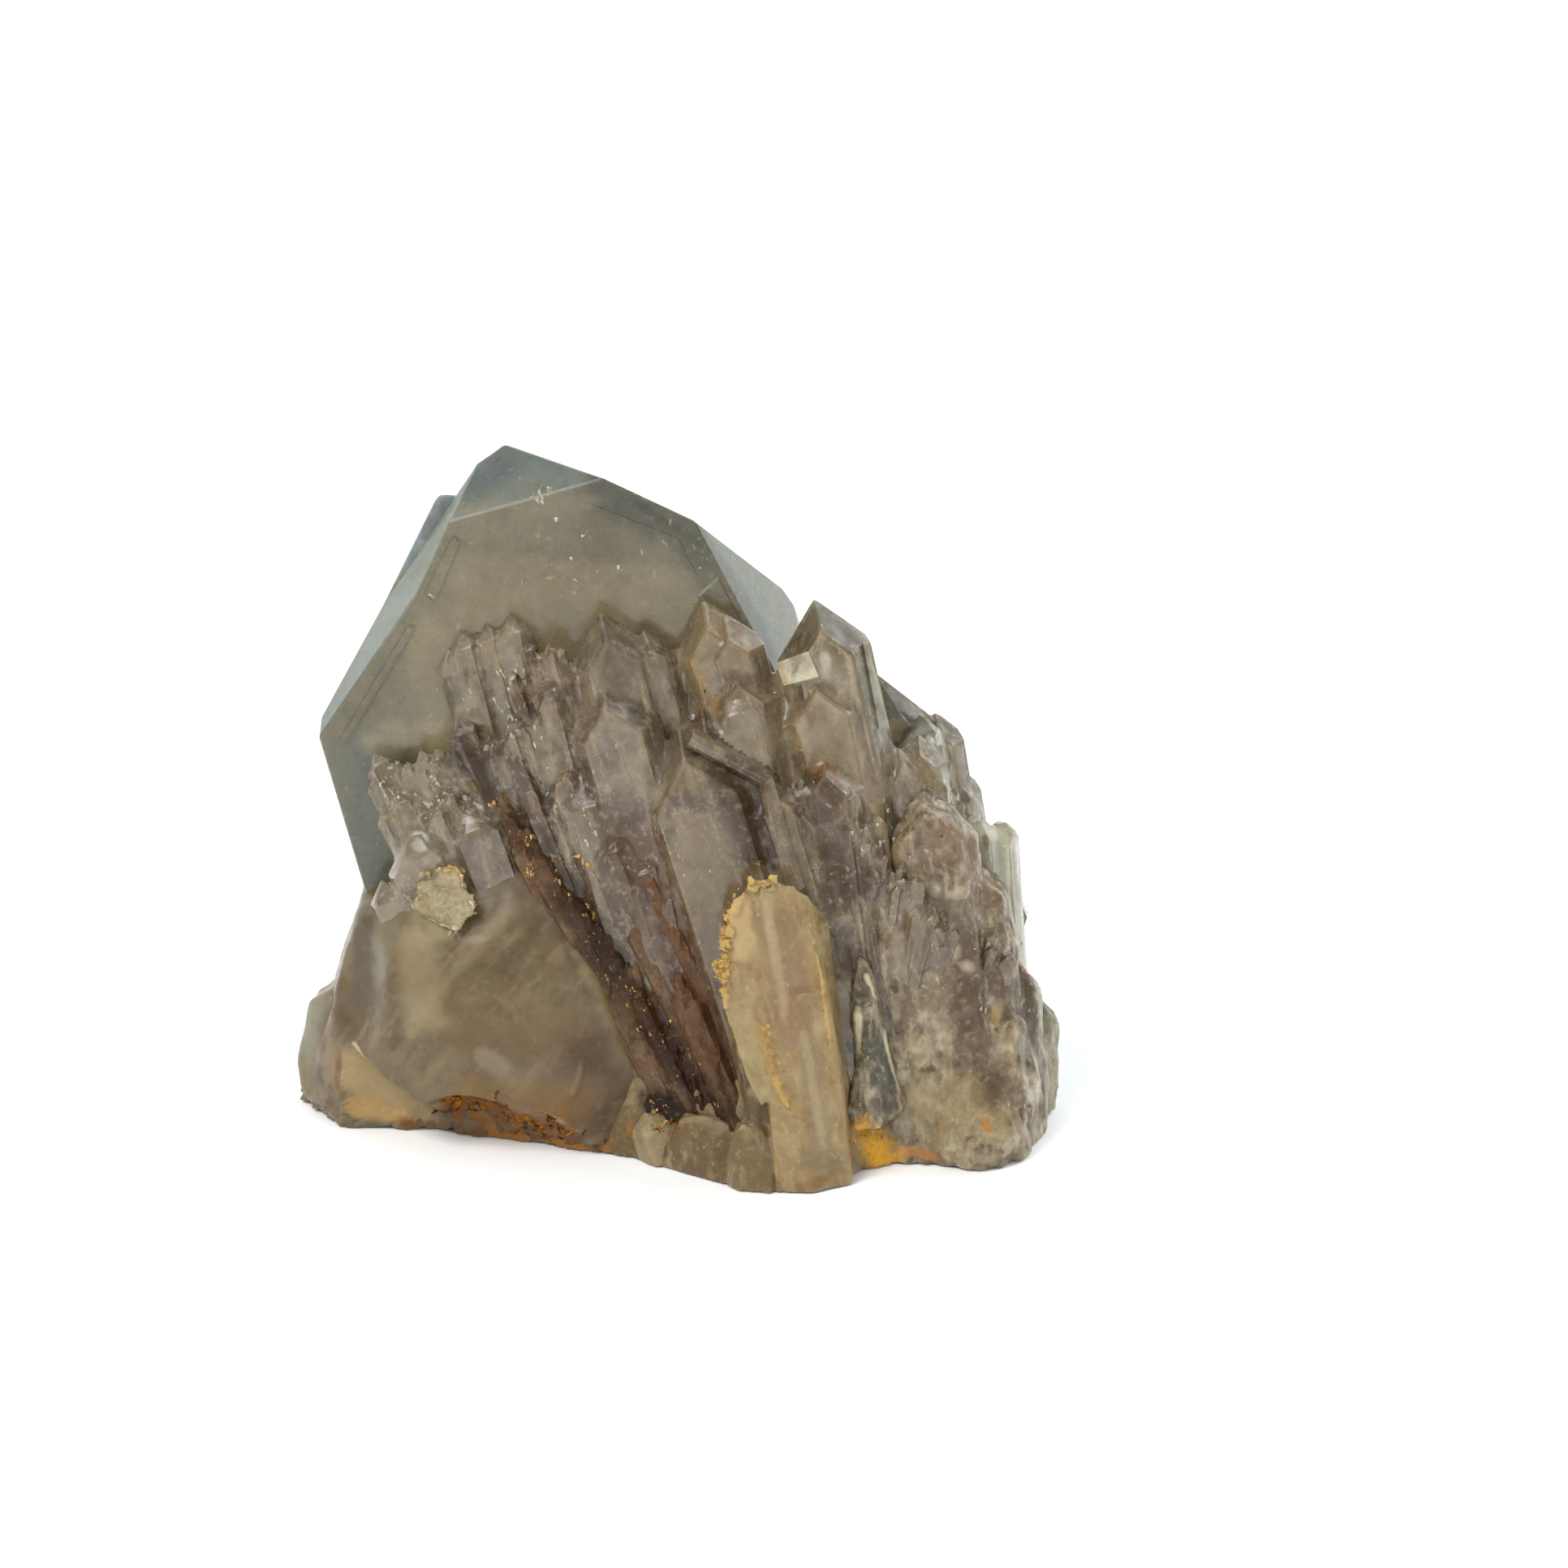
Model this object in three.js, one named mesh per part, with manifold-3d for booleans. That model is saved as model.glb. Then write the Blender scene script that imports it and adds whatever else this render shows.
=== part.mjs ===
// A cluster of smoky, faintly yellow quartz crystals, grown together in one solid.
// Millimetres, +Z up. The cluster stands on its flat cut at z = 0, the origin is the middle of its
// footprint, and its show side faces -Y. One broad flat crystal leans to the left at the back. Smaller
// crystals fan out in front of it and down its right side. A broken lump closes the lower left, and a
// blunt milky blade stands at the front.

import * as THREE from 'three';
import { ConvexGeometry } from 'three/addons/geometries/ConvexGeometry.js';
import { mergeVertices } from 'three/addons/utils/BufferGeometryUtils.js';
import Module from 'manifold-3d';

// Driving dimensions of the whole cluster
const clusterWidth = 76;
const clusterDepth = 46;
const clusterHeight = 67;

// Quartz habit: the tip faces stand at this angle to the length of the crystal, and the prism faces
// at this share of its half width
const tipFaceAngle = 38.2;
const prismReach = 0.92;
const tipSlope = THREE.MathUtils.degToRad(90 - tipFaceAngle);
const usualLift = [0.3, 0.5, 0.15, 0.6, 0.05, 0.2];
const frontal = [2, 0.05, 0.6, 0.5, 0.4, 0]; // the front prism face runs up to the tip

// Main crystal: a flat plate of prism faces with a chisel tip, its front face nearly upright
const mainFrontDepth = 0.5; // y of the front face at half height
const mainFrontRake = 5; // degrees that the front face leans back
const mainThickness = 16.5;

// Base: the milky root in which every crystal stands
const rootHeight = 13;

const viewer = new THREE.Vector3(0, -1, 0);

// A repeatable source of small differences between like crystals
function makeDice(seed) {
  let state = seed;
  return (low, high) => {
    state = (state * 16807) % 2147483647;
    return low + (high - low) * (state / 2147483647);
  };
}

// A face with the given outward direction through a point
function faceThrough(normal, point) {
  const direction = normal.clone().normalize();
  return new THREE.Plane(direction, -direction.dot(point));
}

// A face through three points, its outward side away from the inner point
function faceOn(a, b, c, inner) {
  const plane = new THREE.Plane().setFromCoplanarPoints(a, b, c);
  return plane.distanceToPoint(inner) > 0 ? plane.negate() : plane;
}

// The corners of the solid that lies inside every face
function cornersOf(faces) {
  const corners = [];
  const across = new THREE.Matrix3();
  for (let i = 0; i < faces.length; i++) {
    for (let j = i + 1; j < faces.length; j++) {
      for (let k = j + 1; k < faces.length; k++) {
        const [p, q, r] = [faces[i], faces[j], faces[k]];
        across.set(...p.normal, ...q.normal, ...r.normal);
        if (Math.abs(across.determinant()) < 1e-6) continue;
        const corner = new THREE.Vector3(-p.constant, -q.constant, -r.constant);
        corner.applyMatrix3(across.invert());
        if (faces.some((one) => one.distanceToPoint(corner) > 1e-5)) continue;
        if (corners.some((one) => one.distanceTo(corner) < 1e-3)) continue;
        corners.push(corner);
      }
    }
  }
  return corners;
}

const wasm = await Module();
wasm.setup();

function toSolid(geometry) {
  const bare = geometry.clone();
  bare.deleteAttribute('normal');
  bare.deleteAttribute('uv');
  const merged = mergeVertices(bare, 1e-4);
  return new wasm.Manifold(
    new wasm.Mesh({
      numProp: 3,
      vertProperties: new Float32Array(merged.attributes.position.array),
      triVerts: new Uint32Array(merged.index.array),
    }),
  );
}

// The triangles of each closed shell of a mesh, as lists of triangle numbers
function shellsOf(triangles, vertexCount) {
  const parent = Array.from({ length: vertexCount }, (_, i) => i);
  const rootOf = (i) => {
    while (parent[i] !== i) {
      parent[i] = parent[parent[i]];
      i = parent[i];
    }
    return i;
  };
  for (let t = 0; t < triangles.length; t += 3) {
    parent[rootOf(triangles[t + 1])] = rootOf(triangles[t]);
    parent[rootOf(triangles[t + 2])] = rootOf(triangles[t]);
  }
  const shells = new Map();
  for (let t = 0; t < triangles.length; t += 3) {
    const key = rootOf(triangles[t]);
    if (!shells.has(key)) shells.set(key, []);
    shells.get(key).push(t);
  }
  return [...shells.values()];
}

// The outer shell of a solid. The pockets that the crystals close off between them are filled.
function toGeometry(solid) {
  const mesh = solid.getMesh();
  const corner = (i) => new THREE.Vector3().fromArray(mesh.vertProperties, 3 * i);
  const kept = [];
  for (const shell of shellsOf(mesh.triVerts, mesh.vertProperties.length / 3)) {
    let volume = 0;
    for (const t of shell) {
      const [a, b, c] = [0, 1, 2].map((i) => corner(mesh.triVerts[t + i]));
      volume += a.dot(b.cross(c)) / 6;
    }
    if (volume > 0) kept.push(...shell.flatMap((t) => [0, 1, 2].map((i) => mesh.triVerts[t + i])));
  }
  const geometry = new THREE.BufferGeometry();
  geometry.setAttribute('position', new THREE.BufferAttribute(new Float32Array(mesh.vertProperties), 3));
  geometry.setIndex(kept);
  const faceted = geometry.toNonIndexed();
  faceted.computeVertexNormals();
  return faceted;
}

const hullOf = (points) => toSolid(new ConvexGeometry(points));
const point = (x, y, z) => new THREE.Vector3(x, y, z);

// Along the crystal, out of its front and to its right
function axesOf(foot, tip) {
  const along = tip.clone().sub(foot).normalize();
  const front = viewer.clone().addScaledVector(along, -along.dot(viewer)).normalize();
  const side = along.clone().cross(front);
  return { along, front, side };
}

// One crystal: six prism faces round its axis and six tip faces that meet near its tip.
// lift moves each tip face out from the tip, which makes the others larger.
function quartz({ foot, tip, wide, thick = wide * 0.85, turn = 0, lift = usualLift, blunt = 0 }) {
  const footPoint = point(...foot);
  const tipPoint = point(...tip);
  const { along, front, side } = axesOf(footPoint, tipPoint);
  const faces = [faceThrough(along.clone().negate(), footPoint)];
  for (let k = 0; k < 6; k++) {
    const angle = THREE.MathUtils.degToRad(turn + 60 * k);
    const outward = front.clone().multiplyScalar(Math.cos(angle)).addScaledVector(side, Math.sin(angle));
    const reach = prismReach * Math.hypot((thick / 2) * Math.cos(angle), (wide / 2) * Math.sin(angle));
    faces.push(faceThrough(outward, footPoint.clone().addScaledVector(outward, reach)));
    const slanted = outward.clone().multiplyScalar(Math.sin(tipSlope));
    slanted.addScaledVector(along, Math.cos(tipSlope));
    faces.push(faceThrough(slanted, tipPoint.clone().addScaledVector(slanted, lift[k])));
  }
  if (blunt > 0) {
    faces.push(faceThrough(along, tipPoint.clone().addScaledVector(along, -blunt)));
  }
  return hullOf(cornersOf(faces));
}

// Crystals side by side with nearly the same lean, between a first and a last one
function sheaf({ count, first, last, wide, seed, spread = 0.6, lift = usualLift, blunt = 0 }) {
  const roll = makeDice(seed);
  const crystals = [];
  for (let i = 0; i < count; i++) {
    const share = count > 1 ? i / (count - 1) : 0;
    const tip = point(...first.tip).lerp(point(...last.tip), share);
    const foot = point(...first.foot).lerp(point(...last.foot), share);
    tip.add(point(roll(-spread, spread), roll(-spread, spread), roll(-2 * spread, 2 * spread)));
    foot.add(point(roll(-spread, spread), roll(-spread, spread), 0));
    crystals.push(
      quartz({
        foot: foot.toArray(),
        tip: tip.toArray(),
        wide: wide * roll(0.8, 1.25),
        thick: wide * roll(0.75, 1.1),
        turn: roll(-25, 25),
        lift,
        blunt: blunt * roll(0.6, 1.4),
      }),
    );
  }
  return crystals;
}

// A rounded body. Where two of them meet, or one is cut away, the edge is that of a shell-like break.
function ball([x, y, z], [rx, ry, rz], turn = 0, detail = 3) {
  const shape = new THREE.IcosahedronGeometry(1, detail);
  shape.scale(rx, ry, rz);
  shape.rotateZ(THREE.MathUtils.degToRad(turn));
  shape.translate(x, y, z);
  return toSolid(shape);
}

// The thick slab on the inner side of a face, which cuts off what lies beyond that face
function within(normal, [x, y, z]) {
  const slab = new THREE.BoxGeometry(2 * clusterWidth, 2 * clusterWidth, clusterWidth);
  slab.translate(0, 0, -clusterWidth / 2);
  slab.applyQuaternion(new THREE.Quaternion().setFromUnitVectors(point(0, 0, 1), normal.clone().normalize()));
  slab.translate(x, y, z);
  return toSolid(slab);
}

const joined = (solids) => solids.reduce((sum, one) => sum.add(one));
const common = (solids) => solids.reduce((rest, one) => rest.intersect(one));
const without = (solid, cuts) => cuts.reduce((rest, one) => rest.subtract(one), solid);

// Depth of the main crystal's front face at height z
function mainFront(z) {
  const rake = Math.tan(THREE.MathUtils.degToRad(mainFrontRake));
  return mainFrontDepth + rake * (z - clusterHeight / 2);
}

// The broad crystal at the back: a crown and a flank that share their front face, and a wing behind
// them on the left. Their fronts meet in the long left edge, which bends inwards at its waist.
function mainCrystal() {
  const onFront = (x, z) => point(x, mainFront(z), z);
  const inner = point(-10, 10, 40);
  const topLeft = onFront(-22.1, 60.7);
  const topRight = onFront(-9.1, 64.4);
  const edgeMiddle = onFront(-6.7, 64.9);
  const shoulder = onFront(1.9, 60.8);
  const rightLow = onFront(8.7, 47.7);
  const waist = onFront(-25.8, 52.8);
  const leftPoint = onFront(-35.2, 39);
  const leftFoot = onFront(-30.7, 22.5);
  const ridge = point(-16.8, 9.5, 66.6);
  const ridgeLeft = point(-19.5, 8.2, 65);
  const notch = point(-21.5, 9.3, 61.3);
  const wingTop = point(-23.5, 9, 61.6);
  const leftBack = point(-35.2, 4.5, 38.7);
  const rightFar = point(9.2, 15.1, 51.8);
  const rightMost = point(11.8, 16.6, 47.2);

  const front = faceOn(topLeft, topRight, leftPoint, inner);
  const back = faceThrough(
    front.normal.clone().negate(),
    topLeft.clone().addScaledVector(front.normal, -mainThickness),
  );
  const shared = [
    front,
    back,
    faceThrough(point(0, 0, -1), point(0, 0, 2)),
    faceOn(leftPoint, leftFoot, leftPoint.clone().add(point(2, 9, 0)), inner),
    faceOn(topLeft, topRight, ridge, inner),
    faceOn(edgeMiddle, shoulder, ridge, inner),
    faceOn(shoulder, rightLow, rightFar, inner),
    faceOn(rightFar, rightMost, rightFar.clone().add(point(-6, 5, 0)), inner),
    faceThrough(point(0.95, 0, 0.3), rightMost),
    faceOn(wingTop, leftBack, leftBack.clone().add(point(4, 9, 0)), inner),
    faceThrough(point(-0.8, 0.6, -0.25), point(-28, 13, 34)),
    faceOn(ridgeLeft, notch, ridgeLeft.clone().add(point(1.4, 6, -1)), inner),
    faceOn(ridge, ridgeLeft, point(-19, 16, 60), inner),
    faceThrough(point(0.05, 0.85, 0.6), ridge),
  ];
  const crown = [...shared, faceOn(topLeft, waist, ridgeLeft, inner)];
  const flank = [...shared, faceOn(waist, leftPoint, point(-28.7, 7, 51.2), inner)];
  const wing = [
    wingTop, notch, leftBack, point(-34.6, 5, 36.6), point(-30.7, 4, 21), point(-18, 4, 21),
    point(-20, 4.6, 46), point(-17, 13, 60), point(-21, 15, 54), point(-29.4, 12, 38),
    point(-26.6, 13, 21), point(-14, 15, 21),
  ];
  return [hullOf(cornersOf(crown)), hullOf(cornersOf(flank)), hullOf(wing)];
}

// The crystals that stand singly in the fan. Tips and feet were read from the photograph at real size.
const singles = {
  goldBrown: { tip: [2.7, 0, 53.2], foot: [12.2, -4, 18], wide: 8, thick: 7, lift: frontal },
  goldBrownStep: { tip: [4.8, -1.2, 52.2], foot: [13.6, -5, 18], wide: 6, thick: 6, lift: frontal },
  grey: { tip: [-7.3, -1, 52.4], foot: [1.4, -5, 18], wide: 8.6, thick: 7, turn: 6, lift: frontal },
  lighter: { tip: [-6.9, -4.6, 46.6], foot: [2.2, -9, 13], wide: 7.4, thick: 6, turn: -4, lift: frontal },
  capped: { tip: [5.8, -2.2, 47.8], foot: [13.4, -8, 16], wide: 7, thick: 6, lift: frontal },
  cap: { tip: [5.6, -3.4, 46.2], foot: [12.6, -9.4, 16], wide: 5.6, thick: 4.6, turn: 4, blunt: 0.9 },
  central: {
    tip: [0.4, -6.7, 42.2], foot: [12.4, -12.6, 4], wide: 12.4, thick: 8,
    lift: [2.6, 0.1, 1, 0.8, 0.6, 0],
  },
  centralBack: {
    tip: [2.6, -4.8, 43.6], foot: [14.8, -10, 4], wide: 13, thick: 8,
    lift: [2.4, 0.1, 1, 0.8, 0.6, 0],
  },
  tall: {
    tip: [13.4, -1, 53.6], foot: [23.4, -5, 8], wide: 9.4, thick: 8, turn: 4,
    lift: [1.6, 0.2, 0.6, 0.6, 0.2, 0],
  },
  tallFront: { tip: [13, -4.4, 48.4], foot: [21.6, -9, 8], wide: 7.4, thick: 5, turn: -8, lift: frontal },
  darkBack: { tip: [19.6, 6, 43.2], foot: [26, 2, 10], wide: 7, thick: 8 },
  glassTip: { tip: [23.9, 2, 40.8], foot: [28.4, -2, 10], wide: 3.9, thick: 4, turn: 12 },
  honey: { tip: [23.8, -1, 39.6], foot: [27.8, -5, 10], wide: 4.8, thick: 4.4, lift: frontal },
  roundTop: { tip: [25.4, -3.4, 36.2], foot: [28.2, -6.5, 10], wide: 2.8, thick: 3, turn: 20 },
  narrowUpper: { tip: [26.2, 3, 37], foot: [30.2, 0, 10], wide: 2.5, thick: 3.6 },
  narrowLower: { tip: [28.2, 2, 33.1], foot: [31.2, 0, 10], wide: 2.3, thick: 3.2 },
  creamLeft: {
    tip: [29.6, -1.2, 30.9], foot: [31, -5, 8], wide: 3.2, thick: 4,
    lift: [0.1, 0, 0.2, 0, 0.2, 0],
  },
  creamRight: { tip: [31.4, 0, 30.7], foot: [33.6, -3, 5], wide: 3.6, thick: 4.6, turn: 10 },
  rightBody: { tip: [24.2, -4.6, 36], foot: [28.4, -10.5, 2], wide: 9.4, thick: 7.5, lift: frontal },
  rightColumn: { tip: [29.4, -3.8, 28], foot: [32, -9.5, 2], wide: 6.4, thick: 6, turn: 10, lift: frontal },
  ironTopped: { tip: [14.6, -6.6, 40], foot: [19, -12.5, 5], wide: 6.8, thick: 6, turn: -6, lift: frontal },
  shard: {
    tip: [15.9, -11.4, 26.4], foot: [20.2, -14.4, 2], wide: 6.2, thick: 5, turn: 10,
    lift: [0.4, 0, 0.4, 0.4, 0.4, 0.6],
  },
  blade: {
    tip: [7.9, -15.8, 33.2], foot: [13.6, -18.6, -1], wide: 9, thick: 6, turn: 4,
    blunt: 2.2, lift: [1.2, 0.2, 0.8, 0.8, 0.8, 0],
  },
  bladeBack: { tip: [10.2, -12.6, 28.6], foot: [15, -14.4, -1], wide: 8, thick: 7, turn: -6, lift: frontal },
  bladeSide: {
    tip: [5.8, -15.4, 21.2], foot: [10.6, -17.6, -1], wide: 5.2, thick: 4.6,
    turn: -10, blunt: 0.8,
  },
  darkPurple: { tip: [-21.4, -3, 42.4], foot: [-10, -8, 16], wide: 4, thick: 4, lift: frontal },
  paleStub: { tip: [-25.6, -4.6, 31.4], foot: [-18, -7, 12], wide: 6.2, thick: 5.4, turn: -8, blunt: 0.8 },
  paleStubInner: { tip: [-21, -5.4, 30.6], foot: [-14, -8, 12], wide: 5.6, thick: 5, turn: 8, blunt: 0.6 },
  rightLow: { tip: [32.8, -2.4, 17.6], foot: [33.6, -7, -2], wide: 6.4, thick: 7, turn: 8 },
  stubLeft: { tip: [-2, -12.4, 6.4], foot: [-0.4, -12.4, -1], wide: 5, thick: 6, turn: 12, blunt: 0.7 },
  stubMiddle: { tip: [2.4, -14.4, 7], foot: [3.4, -14.8, -1], wide: 5, thick: 6.4, turn: -8, blunt: 0.7 },
  stubRight: { tip: [6.6, -16.6, 6.8], foot: [7, -17.4, -1], wide: 4.6, thick: 7.6, turn: 14, blunt: 0.6 },
  stubFront: { tip: [10, -18.4, 4.6], foot: [10.4, -19.2, -1], wide: 5.2, thick: 5.4, turn: -14, blunt: 0.8 },
  backTall: { tip: [-3.4, 17.4, 47], foot: [4.4, 13.4, 2], wide: 9.4, thick: 8 },
  backMiddle: { tip: [-13.4, 18, 36.4], foot: [-4, 14.4, 2], wide: 8, thick: 7, turn: 14 },
  backLeft: { tip: [-24.4, 16, 31], foot: [-9, 12.6, 2], wide: 7.4, thick: 6.6, turn: -10 },
  backRight: { tip: [10.6, 15.6, 42], foot: [13.4, 11, 2], wide: 9, thick: 8, turn: 9 },
  backRightLow: { tip: [20.4, 14.4, 33.6], foot: [18, 9.6, 2], wide: 8, thick: 7.4, turn: -14 },
  rightEdge: { tip: [35.9, 2.2, 10.8], foot: [35.3, -1, -3], wide: 4.2, thick: 7, turn: -10 },
};

// Crystals that repeat side by side
const sheaves = {
  milkyColumns: {
    count: 4, wide: 3.1, seed: 11,
    first: { tip: [-21.8, 0.4, 47.8], foot: [-14.4, -4, 22] },
    last: { tip: [-16.6, -0.6, 49.2], foot: [-9.4, -4.4, 22] },
  },
  brownNeedles: {
    count: 4, wide: 2.2, seed: 23,
    first: { tip: [-15.6, -2, 47.6], foot: [-8.4, -5.4, 26] },
    last: { tip: [-11.2, -2.2, 50.6], foot: [-4.4, -5.4, 26] },
  },
  shortNeedles: {
    count: 4, wide: 2, seed: 31,
    first: { tip: [-15.4, -3.4, 43.6], foot: [-8, -7, 22] },
    last: { tip: [-11.2, -4, 44.8], foot: [-4.4, -7.4, 22] },
  },
  leftTipsUpper: {
    count: 6, wide: 2.1, seed: 41,
    first: { tip: [-28.6, -1.2, 36.8], foot: [-19, -6, 18] },
    last: { tip: [-22.8, -2.2, 39.2], foot: [-14, -7, 18] },
  },
  leftTipsLower: {
    count: 5, wide: 2.2, seed: 53,
    first: { tip: [-29, -3.2, 34.4], foot: [-19, -7, 16] },
    last: { tip: [-22.4, -4.4, 35.4], foot: [-13, -8, 16] },
  },
  seamUpper: {
    count: 7, wide: 3, seed: 61, spread: 0.7,
    first: { tip: [-18.6, -5.4, 36.4], foot: [-1.5, -10, 5] },
    last: { tip: [-4.6, -9, 25.4], foot: [7, -13.5, 2] },
  },
  seamLower: {
    count: 7, wide: 2.8, seed: 71, spread: 0.6,
    first: { tip: [-15.6, -7.2, 31.4], foot: [-1, -11.4, 3] },
    last: { tip: [-3.4, -11.4, 17], foot: [4, -14.6, 1] },
  },
  middleColumns: {
    count: 5, wide: 4.6, seed: 83, spread: 0.8,
    first: { tip: [-15.4, -4.2, 41], foot: [-2.4, -9, 8] },
    last: { tip: [-4.4, -8, 32], foot: [6.6, -12.4, 4] },
  },
  rightRibs: {
    count: 5, wide: 3.6, seed: 97, spread: 0.7,
    first: { tip: [19.4, -6.6, 35.4], foot: [22.4, -12, 3] },
    last: { tip: [30.6, -5.6, 25.6], foot: [33, -10, 3] },
  },
  rootColumns: {
    count: 5, wide: 4.8, seed: 103, spread: 0.4, blunt: 1.4,
    first: { tip: [24.4, -10, 14.6], foot: [25.2, -12.4, -2] },
    last: { tip: [32.4, -8.8, 15.6], foot: [33.2, -12, -2] },
  },
  backFan: {
    count: 7, wide: 5.4, seed: 113, spread: 1,
    first: { tip: [-24, 18.9, 22], foot: [-10, 13.8, 1] },
    last: { tip: [17, 17.9, 27], foot: [13, 11.4, 1] },
  },
  backLow: {
    count: 9, wide: 4.4, seed: 127, spread: 1,
    first: { tip: [-27, 17.4, 11.4], foot: [-19, 13.4, 0.5] },
    last: { tip: [26, 15.6, 15], foot: [21, 11, 0.5] },
  },
  rimLeft: {
    count: 5, wide: 8, seed: 139, spread: 0.8, blunt: 2.4,
    first: { tip: [-29.4, 9, 9.6], foot: [-27, 8, -2] },
    last: { tip: [-3.6, 17.4, 9], foot: [-3, 15.8, -2] },
  },
  rimRight: {
    count: 6, wide: 8, seed: 149, spread: 0.8, blunt: 2.2,
    first: { tip: [3.6, 17.4, 9.4], foot: [3, 15.8, -2] },
    last: { tip: [33.4, 5.4, 9.6], foot: [31, 4.4, -2] },
  },
  sideRight: {
    count: 5, wide: 4.6, seed: 131, spread: 0.8,
    first: { tip: [33.6, 3.4, 21], foot: [28, 2, 1] },
    last: { tip: [27.4, 12.6, 25], foot: [22, 7.4, 1] },
  },
};

// The broken lump at the lower left and its small neighbour. Their undersides are scooped out.
function lumps() {
  const bulge = common([
    ball([-15, 12, 8], [26, 25.8, 29], 12, 7),
    within(point(-0.96, 0, 0.28), [-33.3, -5, 16]),
    within(point(-0.72, -0.68, 0.14), [-30, -7.1, 17]),
    within(point(-0.43, -0.15, 0.89), [-22.4, -7.4, 26.1]),
    within(point(0.05, -0.25, 0.97), [-16, -7, 28.6]),
    within(point(0.8, -0.1, 0.6), [-12, -9, 24.4]),
    within(point(0.98, -0.2, 0.06), [-2.6, -12, 7.1]),
    within(point(0.6, -0.7, 0.38), [-7.2, -12, 14]),
    within(point(0, 1, 0), [0, 6, 0]),
  ]);
  // Below two ridges the break turns inwards to the cut. A rusty hollow lies between them.
  const ridgeLeft = [point(-32.7, -6.5, 9.2), point(-25.6, -10.5, 4.8), point(-20.4, -13, 4)];
  const ridgeRight = [point(-17.5, -13, 7.5), point(-7.7, -13.6, 1.9)];
  const cutLeft = [point(-32.7, -5.5, 0), point(-26.1, -5.7, 0), point(-20.4, -6.9, 0)];
  const cutRight = [point(-18.7, -7.1, 0), point(-7, -11.6, 0)];
  const hollow = ball([-20.6, -14.6, 1.2], [6.2, 7.4, 5.6], 14);
  const chip = ball([-27.4, -15.6, 27.4], [7.4, 8, 6], 20);
  const large = without(bulge, [undercut(ridgeLeft, cutLeft), undercut(ridgeRight, cutRight), hollow, chip]);

  const small = hullOf([
    point(-36.8, 0, 11.9), point(-36.1, 1, 12.1), point(-34.7, -1.5, 12.8), point(-33.5, 1, 13.6),
    point(-37.9, 0, 8.1), point(-38.5, 0, 5.2), point(-38.4, -0.5, 3.9), point(-37.9, -1, 2.4),
    point(-37.1, 0.7, 0), point(-32.7, -5.5, 0), point(-33, -3, 11.2), point(-32.5, -6, 5.5),
    point(-35.1, -3.5, 7.9), point(-36, 7, 10), point(-36.8, 8, 3), point(-35.8, 8, 0), point(-33, 9.4, 12),
    point(-28, 10, 12), point(-28, 10, 0), point(-26, -5, 0), point(-28, 0, 14),
  ]);
  const flake = quartz({
    tip: [-20.6, -8.2, 29], foot: [-22.6, -9.2, 22], wide: 5, thick: 2.6, turn: 12, blunt: 0.6,
  });
  return [large, small, flake];
}

// What is cut away in front of the faces between a ridge and a line on the base
function undercut(ridge, cut) {
  const inFront = point(0, -clusterDepth / 3, 0);
  const under = point(0, 0, -5);
  const points = [...ridge, ...cut];
  for (const corner of ridge) {
    points.push(corner.clone().add(inFront));
  }
  for (const corner of cut) {
    points.push(corner.clone().add(under), corner.clone().add(under).add(inFront));
  }
  return hullOf(points);
}

// The milky root: a low block with the cluster's footprint
function root() {
  const footprint = [
    [-32, -3], [-19, -5], [4, -15], [12, -19], [17, -15.2], [24, -12.4], [33, -9.6],
    [35.4, 3], [26, 13.4], [6, 18], [-16, 17], [-30, 9.6],
  ];
  const points = [];
  for (const [x, y] of footprint) {
    points.push(point(x, y, -2));
    points.push(point(x * 0.98, y * 0.97, 3));
    points.push(point(x * 0.8, y * 0.76, rootHeight));
  }
  return hullOf(points);
}

// The milky wall at the lower right, with the low step that a break leaves along its foot
function rightWall() {
  return hullOf([
    point(23.3, -12.8, 0), point(28.2, -15.8, 0), point(32.1, -15.4, 0), point(35.2, -9.6, 0),
    point(36, -4, 0),
    point(24, -13.2, 1.2), point(28, -16.3, 1.7), point(32.4, -15.8, 2.7), point(35.8, -9.8, 4.4),
    point(24.6, -11.4, 8), point(29, -11.6, 12), point(33.4, -9.6, 12.6), point(35, -6, 12), point(28, 0, 14),
  ]);
}

// The mass behind the fan, from which the smaller crystals stand out
function fanBody() {
  return hullOf([
    point(-20, -2, 36), point(-13, -1.6, 43), point(-2, -1.4, 47), point(8, -1.8, 46), point(18, -2.4, 40),
    point(27, -2.4, 28), point(32, -3, 16), point(-12, -8.4, 8), point(8, -12.6, 3), point(22, -11.8, 3),
    point(33, -8.4, 3), point(-24, 10, 20), point(-8, 13, 42), point(14, 13, 38), point(26, 10, 26),
    point(32, 8, 6), point(-22, 12, 4),
  ]);
}

function cluster() {
  const grown = [...mainCrystal(), fanBody(), ...Object.values(singles).map(quartz)];
  for (const row of Object.values(sheaves)) {
    grown.push(...sheaf(row));
  }
  grown.push(root(), rightWall(), ...lumps());
  return joined(grown).intersect(within(point(0, 0, -1), [0, 0, 0]));
}

// Moves a shape so that the origin is the middle of its footprint
function centred(geometry) {
  geometry.computeBoundingBox();
  const middle = geometry.boundingBox.getCenter(point(0, 0, 0));
  return geometry.translate(-middle.x, -middle.y, 0);
}

const quartzLook = new THREE.MeshStandardMaterial({ color: 0x8d8272, roughness: 0.28, metalness: 0 });

const crystals = new THREE.Mesh(centred(toGeometry(cluster())), quartzLook);
crystals.name = 'crystal_cluster';

const part = new THREE.Group();
part.add(crystals);

export default part;
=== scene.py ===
import math
from itertools import combinations

import bmesh
import bpy
import numpy as np
from mathutils import Matrix, Vector, noise
from mathutils.bvhtree import BVHTree


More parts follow.
